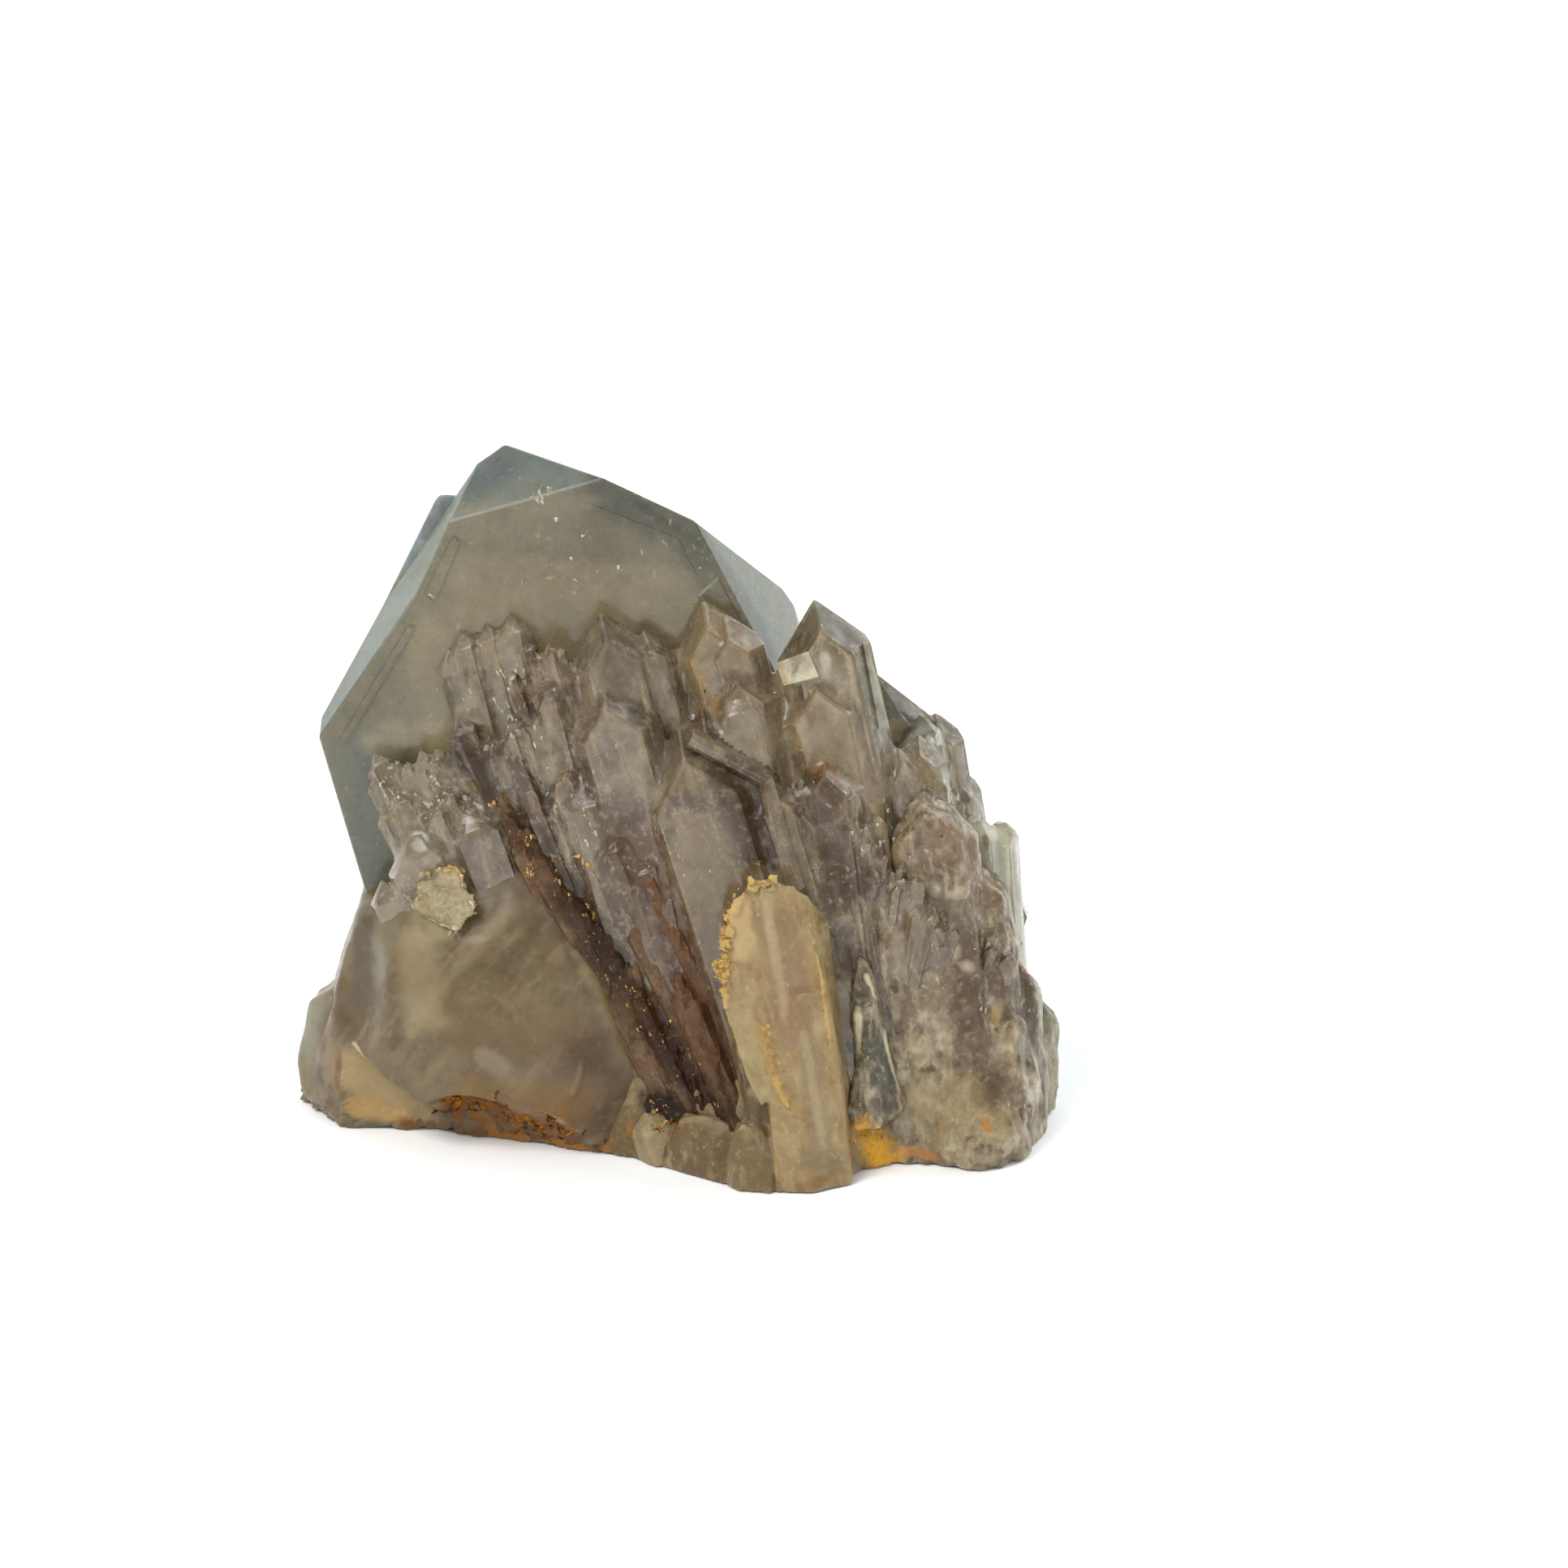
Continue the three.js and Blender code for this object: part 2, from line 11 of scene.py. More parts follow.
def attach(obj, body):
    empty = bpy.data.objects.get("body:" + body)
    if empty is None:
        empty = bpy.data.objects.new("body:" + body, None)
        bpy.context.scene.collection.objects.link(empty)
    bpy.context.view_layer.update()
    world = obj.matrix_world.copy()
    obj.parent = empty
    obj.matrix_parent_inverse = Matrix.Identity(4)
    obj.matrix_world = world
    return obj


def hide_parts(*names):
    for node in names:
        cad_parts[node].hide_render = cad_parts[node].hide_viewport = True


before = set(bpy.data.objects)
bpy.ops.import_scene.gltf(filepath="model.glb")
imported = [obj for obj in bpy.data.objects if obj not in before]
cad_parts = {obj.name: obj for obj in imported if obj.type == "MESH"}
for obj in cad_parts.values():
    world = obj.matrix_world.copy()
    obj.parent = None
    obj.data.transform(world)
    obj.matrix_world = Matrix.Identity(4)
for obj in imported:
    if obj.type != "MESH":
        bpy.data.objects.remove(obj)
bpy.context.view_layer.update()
print("frame loaded")

mm = 0.001
viewer = Vector((0, -1, 0))
lookDown = 20  # degrees by which the camera looks down
specimen = "crystal_cluster"

# Quartz habit
tipFaceAngle = 38.2
prismReach = 0.92
tipSlope = math.radians(90 - tipFaceAngle)
usualLift = (0.3, 0.5, 0.15, 0.6, 0.05, 0.2)
frontal = (2, 0.05, 0.6, 0.5, 0.4, 0)  # the front prism face runs up to the tip

# The sizes below were read off before the footprint was centred, so everything moves by this
originShift = Vector((0.06, 0.23, 0))
placing = Matrix.Scale(mm, 4) @ Matrix.Translation(originShift)

# Colours of the crystals as they look in soft light, red green blue from 0 to 255
shades = {
    "olive": (131, 124, 104),
    # The next three are painted reflections on the broad crystal's faces that turn up, to the left and to
    # the right
    "reflectionSkyGrey": (130, 142, 146),
    "reflectionPaleBlue": (138, 155, 157),
    "reflectionMistBlue": (132, 146, 143),
    "greige": (140, 133, 115),
    "warm": (140, 126, 104),
    "mauve": (133, 122, 110),
    "smoke": (136, 125, 109),
    "honey": (153, 139, 114),
    "straw": (147, 138, 115),
    "sand": (160, 147, 122),
    "veil": (156, 149, 134),
    "milk": (166, 158, 143),
    "clear": (186, 192, 180),
    "glass": (155, 155, 142),
    "bottle": (98, 96, 82),
    "tallGrey": (122, 115, 98),
    # Painted reflection: the light blue of the wing's front face
    "reflectionWingBlue": (178, 199, 220),
    "ochre": (202, 174, 116),
    "paleChip": (164, 148, 112),
    # Painted highlights on the window and strip facets
    "windowHighlight": (222, 224, 208),
    "stripHighlight": (186, 194, 188),
    "rib": (132, 120, 103),
    "brown": (112, 95, 78),
    "dusk": (104, 89, 75),
    "purple": (92, 81, 73),
    "lump": (127, 114, 92),
    "pinkCream": (153, 145, 128),
    "bone": (161, 141, 107),
    "rootCream": (150, 137, 111),
}


def linear(colour):
    return tuple(((c / 255 + 0.055) / 1.055) ** 2.4 for c in colour) + (1,)


def makeDice(seed):
    state = [seed]

    def roll(low, high):
        state[0] = (state[0] * 16807) % 2147483647
        return low + (high - low) * (state[0] / 2147483647)

    return roll


# Flat-faced solids, each held as the faces that bound it: an outward direction and a reach along it

def faceThrough(normal, place):
    outward = Vector(normal).normalized()
    return outward, outward.dot(Vector(place))


def faceOn(a, b, c, inner):
    normal = (Vector(b) - Vector(a)).cross(Vector(c) - Vector(a)).normalized()
    if normal.dot(Vector(inner) - Vector(a)) > 0:
        normal = -normal
    return normal, normal.dot(Vector(a))


# In millimetres, but for the first one
tolerance = {"parallel": 1e-5, "outside": 1e-4, "same": 2e-3, "onFace": 3e-3}


def cornersOf(faces):
    normals = np.array([tuple(face[0]) for face in faces])
    reach = np.array([face[1] for face in faces])
    triples = np.array(list(combinations(range(len(faces)), 3)))
    across = normals[triples]
    sharp = np.abs(np.linalg.det(across)) > tolerance["parallel"]
    corners = np.linalg.solve(across[sharp], reach[triples[sharp]][..., None])[..., 0]
    corners = corners[(corners @ normals.T <= reach + tolerance["outside"]).all(axis=1)]
    kept = []
    for corner in corners:
        if all(np.abs(corner - other).max() > tolerance["same"] for other in kept):
            kept.append(corner)
    return kept, normals, reach


def loopsOf(corners, normals, reach):
    loops = []
    places = np.array(corners)
    for normal, distance in zip(normals, reach):
        near = np.nonzero(np.abs(places @ normal - distance) < tolerance["onFace"])[0]
        if len(near) < 3:
            continue
        middle = places[near].mean(axis=0)
        across = places[near[0]] - middle
        across -= normal * across.dot(normal)
        across /= np.linalg.norm(across)
        up = np.cross(normal, across)
        legs = places[near] - middle
        turns = [math.atan2(leg.dot(up), leg.dot(across)) for leg in legs]
        loops.append([int(i) for _, i in sorted(zip(turns, near))])
    return loops


# Painted light on a crystal's faces: a painted highlight along the bevelled edges, painted shade on the
# faces that turn up (lighter towards the left) and on those that turn to either side
facing = {
    "edge": 0.16,
    "edgeHighlight": (176, 156, 118),
    "tip": 0.72,
    "tipSide": 0.16,
    "left": 0.97,
    "right": 0.84,
    "upward": 0.3,
    "sideways": 0.5,
}


def paintedFacetLight(polygon, shade):
    if polygon.material_index == 1:
        share = facing["edge"]
        return tuple(a + (b - a) * share for a, b in zip(shade, linear(facing["edgeHighlight"])))
    normal = polygon.normal
    level = 1
    if normal.z > facing["upward"]:
        level = facing["tip"] - facing["tipSide"] * normal.x
    elif normal.x < -facing["sideways"]:
        level = facing["left"]
    elif normal.x > facing["sideways"]:
        level = facing["right"]
    return tuple(part * level for part in shade[:3]) + (1,)


def blockFrom(bm, shade, facets=False):
    bmesh.ops.recalc_face_normals(bm, faces=bm.faces)
    mesh = bpy.data.meshes.new("block")
    bm.to_mesh(mesh)
    bm.free()
    base = linear(shades[shade])
    painted = mesh.attributes.new("shade", "FLOAT_COLOR", "FACE")
    for polygon in mesh.polygons:
        # With facets, each face gets painted light and shade by its direction, and the bevel faces a
        # painted highlight
        painted.data[polygon.index].color = paintedFacetLight(polygon, base) if facets else base
    block = bpy.data.objects.new("block", mesh)
    bpy.context.scene.collection.objects.link(block)
    return block


weldDistance = 0.004


def bevelled(bm, edge, material=-1):
    if edge > 0:
        bmesh.ops.bevel(
            bm, geom=bm.edges[:], offset=edge, segments=1, affect="EDGES", clamp_overlap=True,
            material=material)
        bmesh.ops.remove_doubles(bm, verts=bm.verts, dist=weldDistance)


def solidOf(faces, edge=0.1, shade="olive", facets=False):
    corners, normals, reach = cornersOf(faces)
    bm = bmesh.new()
    verts = [bm.verts.new(corner) for corner in corners]
    for loop in loopsOf(corners, normals, reach):
        bm.faces.new([verts[i] for i in loop])
    bmesh.ops.recalc_face_normals(bm, faces=bm.faces)
    # The bevel faces get index 1, which marks them for the painted edge highlight
    bevelled(bm, edge, 1)
    return blockFrom(bm, shade, facets)


def dropLoose(bm, hull):
    inner = [item for item in hull["geom_interior"] if isinstance(item, bmesh.types.BMVert)]
    bmesh.ops.delete(bm, geom=inner, context="VERTS")


def hullOf(points, edge=0.1, shade="olive"):
    bm = bmesh.new()
    for place in points:
        bm.verts.new(place)
    made = bmesh.ops.convex_hull(bm, input=bm.verts)
    dropLoose(bm, made)
    bmesh.ops.dissolve_limit(bm, angle_limit=math.radians(2), verts=bm.verts, edges=bm.edges)
    bevelled(bm, edge)
    return blockFrom(bm, shade)


def combine(a, b, operation="UNION"):
    joint = a.modifiers.new("joint", "BOOLEAN")
    joint.operation = operation
    joint.solver = "MANIFOLD"
    joint.object = b
    graph = bpy.context.evaluated_depsgraph_get()
    result = bpy.data.meshes.new_from_object(a.evaluated_get(graph))
    a.modifiers.clear()
    a.data = result
    bpy.data.objects.remove(b)
    return a


def joined(blocks):
    level = list(blocks)
    while len(level) > 1:
        pairs = [combine(level[i], level[i + 1]) for i in range(0, len(level) - 1, 2)]
        level = pairs + level[len(pairs) * 2:]
    return level[0]


def stance(foot, tip):
    along = (tip - foot).normalized()
    front = (viewer - along * along.dot(viewer)).normalized()
    return along, front, along.cross(front)


def quartzFaces(foot, tip, wide, thick, turn=0, lift=usualLift, blunt=0):
    foot = Vector(foot)
    tip = Vector(tip)
    along, front, side = stance(foot, tip)
    faces = [faceThrough(-along, foot)]
    for k in range(6):
        angle = math.radians(turn + 60 * k)
        outward = front * math.cos(angle) + side * math.sin(angle)
        reach = prismReach * math.hypot(thick / 2 * math.cos(angle), wide / 2 * math.sin(angle))
        faces.append(faceThrough(outward, foot + outward * reach))
        slanted = outward * math.sin(tipSlope) + along * math.cos(tipSlope)
        faces.append(faceThrough(slanted, tip + slanted * lift[k]))
    if blunt > 0:
        faces.append(faceThrough(along, tip - along * blunt))
    return faces


# Width of the bevel on a crystal's edges
bevel = {"least": 0.04, "share": 0.018, "most": 0.2}


def quartz(shade, **habit):
    edge = min(bevel["most"], bevel["least"] + bevel["share"] * habit["wide"])
    return solidOf(quartzFaces(**habit), edge, shade, facets=True)


# Narrower individuals in the same stance: some step out of the front of a larger crystal, some fill
# the grooves beside it. All but height and turn are shares of the large crystal's width.
flankHabit = {
    "ahead": {"aside": 0.34, "out": (0.16, 0.27), "wide": (0.22, 0.5), "thick": 0.42},
    "beside": {"aside": (0.4, 0.62), "out": (-0.16, 0.1), "wide": (0.3, 0.6)},
    "height": (0.5, 0.95),
    "turn": 6,
    "frontalAbove": 0.4,
    "widerThan": 5,
    "count": 5,
    "seed": 177,
}


def flanks(habit, roll, count):
    ahead = flankHabit["ahead"]
    beside = flankHabit["beside"]
    foot = Vector(habit["foot"])
    tip = Vector(habit["tip"])
    wide = habit["wide"]
    thick = habit["thick"]
    _, front, side = stance(foot, tip)
    made = []
    for i in range(count):
        if i % 2:
            slip = side * wide * roll(-ahead["aside"], ahead["aside"]) + front * thick * roll(*ahead["out"])
            narrow = wide * roll(*ahead["wide"])
        else:
            aside = wide * roll(*beside["aside"]) * (1 if roll(0, 1) > 0.5 else -1)
            slip = side * aside + front * thick * roll(*beside["out"])
            narrow = wide * roll(*beside["wide"])
        made.append(dict(
            shade=habit["shade"],
            foot=foot + slip,
            tip=foot.lerp(tip, roll(*flankHabit["height"])) + slip,
            wide=narrow,
            thick=min(narrow, thick * ahead["thick"]) if i % 2 else narrow,
            turn=habit.get("turn", 0) + roll(-flankHabit["turn"], flankHabit["turn"]),
            lift=frontal if roll(0, 1) > flankHabit["frontalAbove"] else usualLift,
        ))
    return made


# How the crystals of a row differ: shift along the crystal in spreads, the rest in shares
rowHabit = {"along": (-3, 2), "wide": (0.6, 1.45), "thick": (0.75, 1.1), "blunt": (0.6, 1.4), "turn": 25}


def sheaf(shade, count, first, last, wide, seed, spread=0.6, lift=usualLift, blunt=0):
    roll = makeDice(seed)
    made = []
    for i in range(count):
        share = i / (count - 1) if count > 1 else 0
        tip = Vector(first["tip"]).lerp(Vector(last["tip"]), share)
        foot = Vector(first["foot"]).lerp(Vector(last["foot"]), share)
        along = (tip - foot).normalized()
        shift = Vector((roll(-spread, spread), roll(-spread, spread), 0))
        tip += shift + along * roll(*rowHabit["along"]) * spread
        foot += Vector((roll(-spread, spread), roll(-spread, spread), 0))
        made.append(dict(
            shade=shade,
            foot=foot,
            tip=tip,
            wide=wide * roll(*rowHabit["wide"]),
            thick=wide * roll(*rowHabit["thick"]),
            turn=roll(-rowHabit["turn"], rowHabit["turn"]),
            lift=lift,
            blunt=blunt * roll(*rowHabit["blunt"]),
        ))
    return made


def alongPath(path, share):
    share *= len(path) - 1
    leg = min(int(share), len(path) - 2)
    return Vector(path[leg]).lerp(Vector(path[leg + 1]), share - leg)


# The broad crystal at the back
mainPlate = {
    "frontDepth": 0.5,
    "rake": 5,
    "halfHeight": 33.5,
    "thick": 16.5,
    "edge": 0.16,
}


def onFront(x, z):
    rise = z - mainPlate["halfHeight"]
    return Vector((x, mainPlate["frontDepth"] + math.tan(math.radians(mainPlate["rake"])) * rise, z))


def mainCrystal():
    inner = Vector((-10, 10, 40))
    topLeft = onFront(-22.1, 60.7)
    topRight = onFront(-9.1, 64.4)
    edgeMiddle = onFront(-6.7, 64.9)
    shoulder = onFront(1.9, 60.8)
    rightLow = onFront(8.7, 47.7)
    waist = onFront(-25.8, 52.8)
    leftPoint = onFront(-35.2, 39)
    leftFoot = onFront(-30.7, 22.5)
    ridge = Vector((-16.8, 9.5, 66.6))
    ridgeLeft = Vector((-19.5, 8.2, 65))
    notch = Vector((-21.5, 9.3, 61.3))
    wingTop = Vector((-23.5, 9, 61.6))
    leftBack = Vector((-35.2, 4.5, 38.7))
    rightFar = Vector((9.2, 15.1, 51.8))
    rightMost = Vector((11.8, 16.6, 47.2))

    front = faceOn(topLeft, topRight, leftPoint, inner)
    shared = [
        front,
        faceThrough(-front[0], topLeft - front[0] * mainPlate["thick"]),
        faceThrough((0, 0, -1), (0, 0, 2)),
        faceOn(leftPoint, leftFoot, leftPoint + Vector((2, 9, 0)), inner),
        faceOn(topLeft, topRight, ridge, inner),
        faceOn(edgeMiddle, shoulder, ridge, inner),
        faceOn(shoulder, rightLow, rightFar, inner),
        faceOn(rightFar, rightMost, rightFar + Vector((-6, 5, 0)), inner),
        faceThrough((0.95, 0, 0.3), rightMost),
        faceOn(wingTop, leftBack, leftBack + Vector((4, 9, 0)), inner),
        faceThrough((-0.8, 0.6, -0.25), (-28, 13, 34)),
        faceOn(ridgeLeft, notch, ridgeLeft + Vector((1.4, 6, -1)), inner),
        faceOn(ridge, ridgeLeft, (-19, 16, 60), inner),
        faceThrough((0.05, 0.85, 0.6), ridge),
    ]
    crown = shared + [faceOn(topLeft, waist, ridgeLeft, inner)]
    flank = shared + [faceOn(waist, leftPoint, (-28.7, 7, 51.2), inner)]
    wing = [
        wingTop, notch, leftBack, (-34.6, 5, 36.6), (-30.7, 4, 21), (-18, 4, 21),
        (-20, 4.6, 46), (-17, 13, 60), (-21, 15, 54), (-29.4, 12, 38), (-26.6, 13, 21), (-14, 15, 21),
    ]
    edge = mainPlate["edge"]
    blocks = [solidOf(crown, edge), solidOf(flank, edge), hullOf(wing, edge, "reflectionWingBlue")]
    # Painted reflections: the faces of the broad crystal are tinted by their direction; the wing's front
    # face is painted light blue, and its other faces and low part get the pale blue of the left faces
    for block in blocks[:2]:
        reflectionTintByFacing(block)
    wingReflectionTint = blocks[2].data.attributes["shade"].data
    for polygon in blocks[2].data.polygons:
        if polygon.normal.y > wingFront["normal"] or polygon.center.z < wingFront["from"]:
            wingReflectionTint[polygon.index].color = linear(shades["reflectionPaleBlue"])
    return blocks


# The front of the broad crystal is olive; the faces that turn away from it get a painted bluish reflection
turnedAway = {"up": 0.35, "left": -0.5, "right": 0.4}
wingFront = {"normal": -0.4, "from": 34}


def reflectionTintByFacing(block):
    painted = block.data.attributes["shade"].data
    for polygon in block.data.polygons:
        normal = polygon.normal
        shade = "olive"
        if normal.z > turnedAway["up"]:
            shade = "reflectionSkyGrey"
        if normal.x < turnedAway["left"]:
            shade = "reflectionPaleBlue"
        if normal.x > turnedAway["right"]:
            shade = "reflectionMistBlue"
        painted[polygon.index].color = linear(shades[shade])


# Low growth steps on the front of the broad crystal: outline on that face, height
growthSteps = {
    "leftStair": dict(outline=[(-33.4, 38.4), (-26, 50.6), (-25.4, 50.3), (-32.7, 38.2)], height=0.2),
    "leftStairUpper": dict(
        outline=[(-24.6, 53.4), (-21.6, 59.4), (-20.9, 58.8), (-23.6, 52.6)], height=0.2),
    "topPlate": dict(outline=[(-8.4, 62.6), (0.4, 59), (2.2, 55.4), (-4, 59.4)], height=0.12),
    "rightPlate": dict(outline=[(4.2, 55.2), (7.9, 48), (5.4, 47), (2.2, 53.4)], height=0.14),
}


stepInset = 0.06  # how far a step's edge slopes in, as a share of the way to its middle


def growthStep(outline, height):
    middle = sum((onFront(x, z) for x, z in outline), Vector()) / len(outline)
    points = []
    for x, z in outline:
        corner = onFront(x, z)
        points.append(corner + Vector((0, 1, 0)))
        points.append(corner)
        points.append(corner.lerp(middle, stepInset) + Vector((0, -height, 0)))
    return hullOf(points, 0)


def single(shade, tip, foot, wide, thick, **habit):
    return dict(shade=shade, tip=tip, foot=foot, wide=wide, thick=thick, **habit)


# The crystals that stand singly in the fan
singles = {
    "goldBrown": single("honey", (2.7, 0, 53.2), (12.2, -4, 18), 8, 7, lift=frontal),
    "goldBrownStep": single("honey", (4.8, -1.2, 52.2), (13.6, -5, 18), 6, 6, lift=frontal),
    "grey": single("smoke", (-7.3, -1, 52.4), (1.4, -5, 18), 8.6, 7, turn=6, lift=frontal),
    "lighter": single("mauve", (-6.9, -4.6, 46.6), (2.2, -9, 13), 9, 6.4, turn=-4, lift=frontal),
    "capped": single("honey", (5.8, -2.6, 47.8), (13.4, -8.4, 16), 7, 6, lift=frontal),
    "cap": single("milk", (5.7, -4.4, 46), (12.6, -10.4, 16), 6, 4.6, turn=4, blunt=0.9),
    "central": single(
        "warm", (0.4, -6.7, 42.2), (12.4, -12.6, 4), 12.4, 8, lift=(2.6, 0.1, 1, 0.8, 0.6, 0)),
    "centralBack": single(
        "brown", (2.6, -4.8, 43.6), (14.8, -10, 4), 13, 8, lift=(2.4, 0.1, 1, 0.8, 0.6, 0)),
    "tall": single(
        "tallGrey", (13.4, -1, 53.6), (23.4, -5, 8), 9.4, 8, turn=4, lift=(1.6, 0.2, 0.6, 0.6, 0.2, 0)),
    "tallFront": single("sand", (13.6, -3.8, 47.4), (21.6, -8.8, 8), 8, 5, blunt=1.2, lift=frontal),
    "darkBack": single("rib", (19.2, 5.6, 44.2), (25, 2, 10), 10.4, 8),
    "glassTip": single("clear", (23.9, 2, 40.8), (28.4, -2, 10), 3.9, 4, turn=12),
    "honey": single("straw", (23.8, -1, 39.6), (27.8, -5, 10), 4.8, 4.4, lift=frontal),
    "roundTop": single("glass", (25.4, -3.4, 36.2), (28.2, -6.5, 10), 2.8, 3, turn=20),
    "narrowUpper": single("glass", (26.2, 3, 37), (30.2, 0, 10), 2.5, 3.6),
    "narrowLower": single("glass", (28.2, 2, 33.1), (31.2, 0, 10), 2.3, 3.2),
    "creamLeft": single(
        "clear", (29.9, -1.2, 31.6), (31.2, -5, 8), 4, 4, blunt=0.5, lift=(0.1, 0, 0.2, 0, 0.2, 0)),
    "creamRight": single("clear", (31.8, 0, 30.8), (33.6, -3, 5), 3.4, 4.6, turn=10, blunt=0.3),
    "ironTopped": single("brown", (14.6, -6.6, 40), (19, -12.5, 5), 6.8, 6, turn=-6, lift=frontal),
    "darkPurple": single("dusk", (-21.4, -2.4, 42.2), (-10, -7.4, 16), 3.4, 3.4, turn=20),
    "darkPurpleBeside": single("brown", (-18.6, -3, 40.6), (-8, -7.6, 16), 3, 3, turn=-12),
    "paleStub": single("veil", (-26, -4.6, 31.8), (-19, -5.2, 12), 8, 4.6, turn=-8, blunt=0.8),
    "paleStubInner": single("mauve", (-20.4, -5.2, 34), (-13, -6.2, 12), 6.4, 4.2, turn=8),
    "backTall": single("olive", (-3.4, 17.4, 47), (4.4, 13.4, 2), 9.4, 8),
    "backMiddle": single("warm", (-13.4, 18, 36.4), (-4, 14.4, 2), 8, 7, turn=14),
    "backLeft": single("greige", (-24.4, 16, 31), (-9, 12.6, 2), 7.4, 6.6, turn=-10),
    "backRight": single("olive", (10.6, 15.6, 42), (13.4, 11, 2), 9, 8, turn=9),
    "backRightLow": single("warm", (20.4, 14.4, 33.6), (18, 9.6, 2), 8, 7.4, turn=-14),
}

# Rows of crystals side by side
rows = {
    "milkyColumns": dict(
        shade="veil",
        count=5, wide=3, seed=11, spread=0.8,
        first={"tip": (-21.8, 2, 48.8), "foot": (-14.4, -3.6, 22)},
        last={"tip": (-16.6, 1.6, 50.2), "foot": (-9.4, -4, 22)}),
    "brownNeedles": dict(
        shade="brown",
        count=4, wide=2.2, seed=23,
        first={"tip": (-15.6, -2, 47.6), "foot": (-8.4, -5.4, 26)},
        last={"tip": (-11.2, -2.2, 50.6), "foot": (-4.4, -5.4, 26)}),
    "shortNeedles": dict(
        shade="mauve",
        count=4, wide=2, seed=31,
        first={"tip": (-15.4, -3.4, 43.6), "foot": (-8, -7, 22)},
        last={"tip": (-11.2, -4, 44.8), "foot": (-4.4, -7.4, 22)}),
    "leftTipsUpper": dict(
        shade="veil",
        count=6, wide=2.1, seed=41,
        first={"tip": (-28.6, -1.2, 36.8), "foot": (-19, -6, 18)},
        last={"tip": (-22.8, -2.2, 39.2), "foot": (-14, -7, 18)}),
    "leftTipsLower": dict(
        shade="greige",
        count=5, wide=2.2, seed=53,
        first={"tip": (-29, -3.2, 34.4), "foot": (-19, -7, 16)},
        last={"tip": (-22.4, -4.4, 35.4), "foot": (-13, -8, 16)}),
    "middleColumns": dict(
        shade="dusk",
        count=5, wide=4.6, seed=83, spread=0.8,
        first={"tip": (-15.4, -4.2, 41), "foot": (-2.4, -9, 8)},
        last={"tip": (-4.4, -8, 32), "foot": (6.6, -12.4, 4)}),
    "backFan": dict(
        shade="olive",
        count=7, wide=5.4, seed=113, spread=1,
        first={"tip": (-24, 18.9, 22), "foot": (-10, 13.8, 1)},
        last={"tip": (17, 17.9, 27), "foot": (13, 11.4, 1)}),
    "backLow": dict(
        shade="warm",
        count=9, wide=4.4, seed=127, spread=1,
        first={"tip": (-27, 17.4, 11.4), "foot": (-19, 13.4, 0.5)},
        last={"tip": (26, 15.6, 15), "foot": (21, 11, 0.5)}),
    "sideRight": dict(
        shade="rib",
        count=5, wide=4.6, seed=131, spread=0.8,
        first={"tip": (33.6, 3.4, 21), "foot": (28, 2, 1)},
        last={"tip": (27.4, 12.6, 25), "foot": (22, 7.4, 1)}),
}

seamRows = {
    "seamUpper": dict(
        shade="brown",
        count=9, wide=2.4, seed=61, spread=0.7,
        first={"tip": (-17, -3.6, 35), "foot": (-1.5, -8.8, 5)},
        last={"tip": (-4.6, -8.2, 25.4), "foot": (7, -13, 2)}),
    "seamRight": dict(
        shade="mauve",
        count=8, wide=2.2, seed=67, spread=0.8,
        first={"tip": (-13.4, -4.4, 39.6), "foot": (1.6, -9.6, 18)},
        last={"tip": (-3.6, -8.6, 30.6), "foot": (7, -13, 8)}),
    "seamLowRight": dict(
        shade="dusk",
        count=6, wide=2, seed=73, spread=0.6,
        first={"tip": (-4, -10.2, 25), "foot": (4.6, -13.8, 6)},
        last={"tip": (1.6, -12.6, 17), "foot": (7, -15, 2)}),
    "seamLower": dict(
        shade="dusk",
        count=9, wide=2.2, seed=71, spread=0.6,
        first={"tip": (-14.6, -7, 30.6), "foot": (-1, -11.4, 3)},
        last={"tip": (-3.4, -11.4, 17), "foot": (4, -14.6, 1)}),
}

# The facet at the foot of the tall crystal's tip, painted bright as a highlight
windowFacet = [
    (9.8, -5.3, 48.9), (13, -5.2, 50.1), (14, -6.4, 47.9), (10.6, -6.5, 47),
    (10.2, -2, 47.4), (13.6, -2, 48.6), (12.4, -3, 45.4),
]

# The narrow face along the tall crystal's right edge, painted bright as a highlight
stripFacet = [
    (18.3, -3, 50.2), (19.1, -3.1, 49), (20.9, -3.9, 41.7), (19.9, -4.1, 41.7),
    (18.4, -1, 49.6), (20.6, -1.4, 42), (19.2, -1.4, 42),
]

# The raised edge that runs down over the central crystal
ribbon = {
    "path": [(1.8, -9.1, 42.2), (8.9, -10, 38.4), (10.2, -12, 33.8), (11.8, -12.8, 28.6)],
    "halfWidth": 0.8,
    "ridge": 0.4,
    "ridgeShare": 0.4,
    "depth": 1.8,
    "overlap": 0.3,
}


def ribbonBlocks():
    blocks = []
    path = [Vector(place) for place in ribbon["path"]]
    for start, end in zip(path, path[1:]):
        along = (end - start).normalized() * ribbon["overlap"]
        across = (end - start).cross(viewer).normalized() * ribbon["halfWidth"]
        corners = []
        for place in (start - along, end + along):
            for share in (-1, 1):
                corners.append(place + across * share)
                corners.append(place + across * share - viewer * ribbon["depth"])
                ridge = across * share * ribbon["ridgeShare"]
                corners.append(place + ridge + viewer * ribbon["ridge"])
        blocks.append(hullOf(corners, 0, "rib"))
    return blocks


# The mass behind the fan
fanBody = [
    (-20, -2, 36), (-13, -1.6, 43), (-2, -1.4, 47), (8, -1.8, 46), (18, -2.4, 40), (27, -2.4, 28),
    (32, -3, 16), (-12, -8.4, 8), (8, -12.6, 3), (22, -11.8, 3), (33, -8.4, 3), (-24, 10, 20),
    (-8, 13, 42), (14, 13, 38), (26, 10, 26), (32, 8, 6), (-22, 12, 4),
]

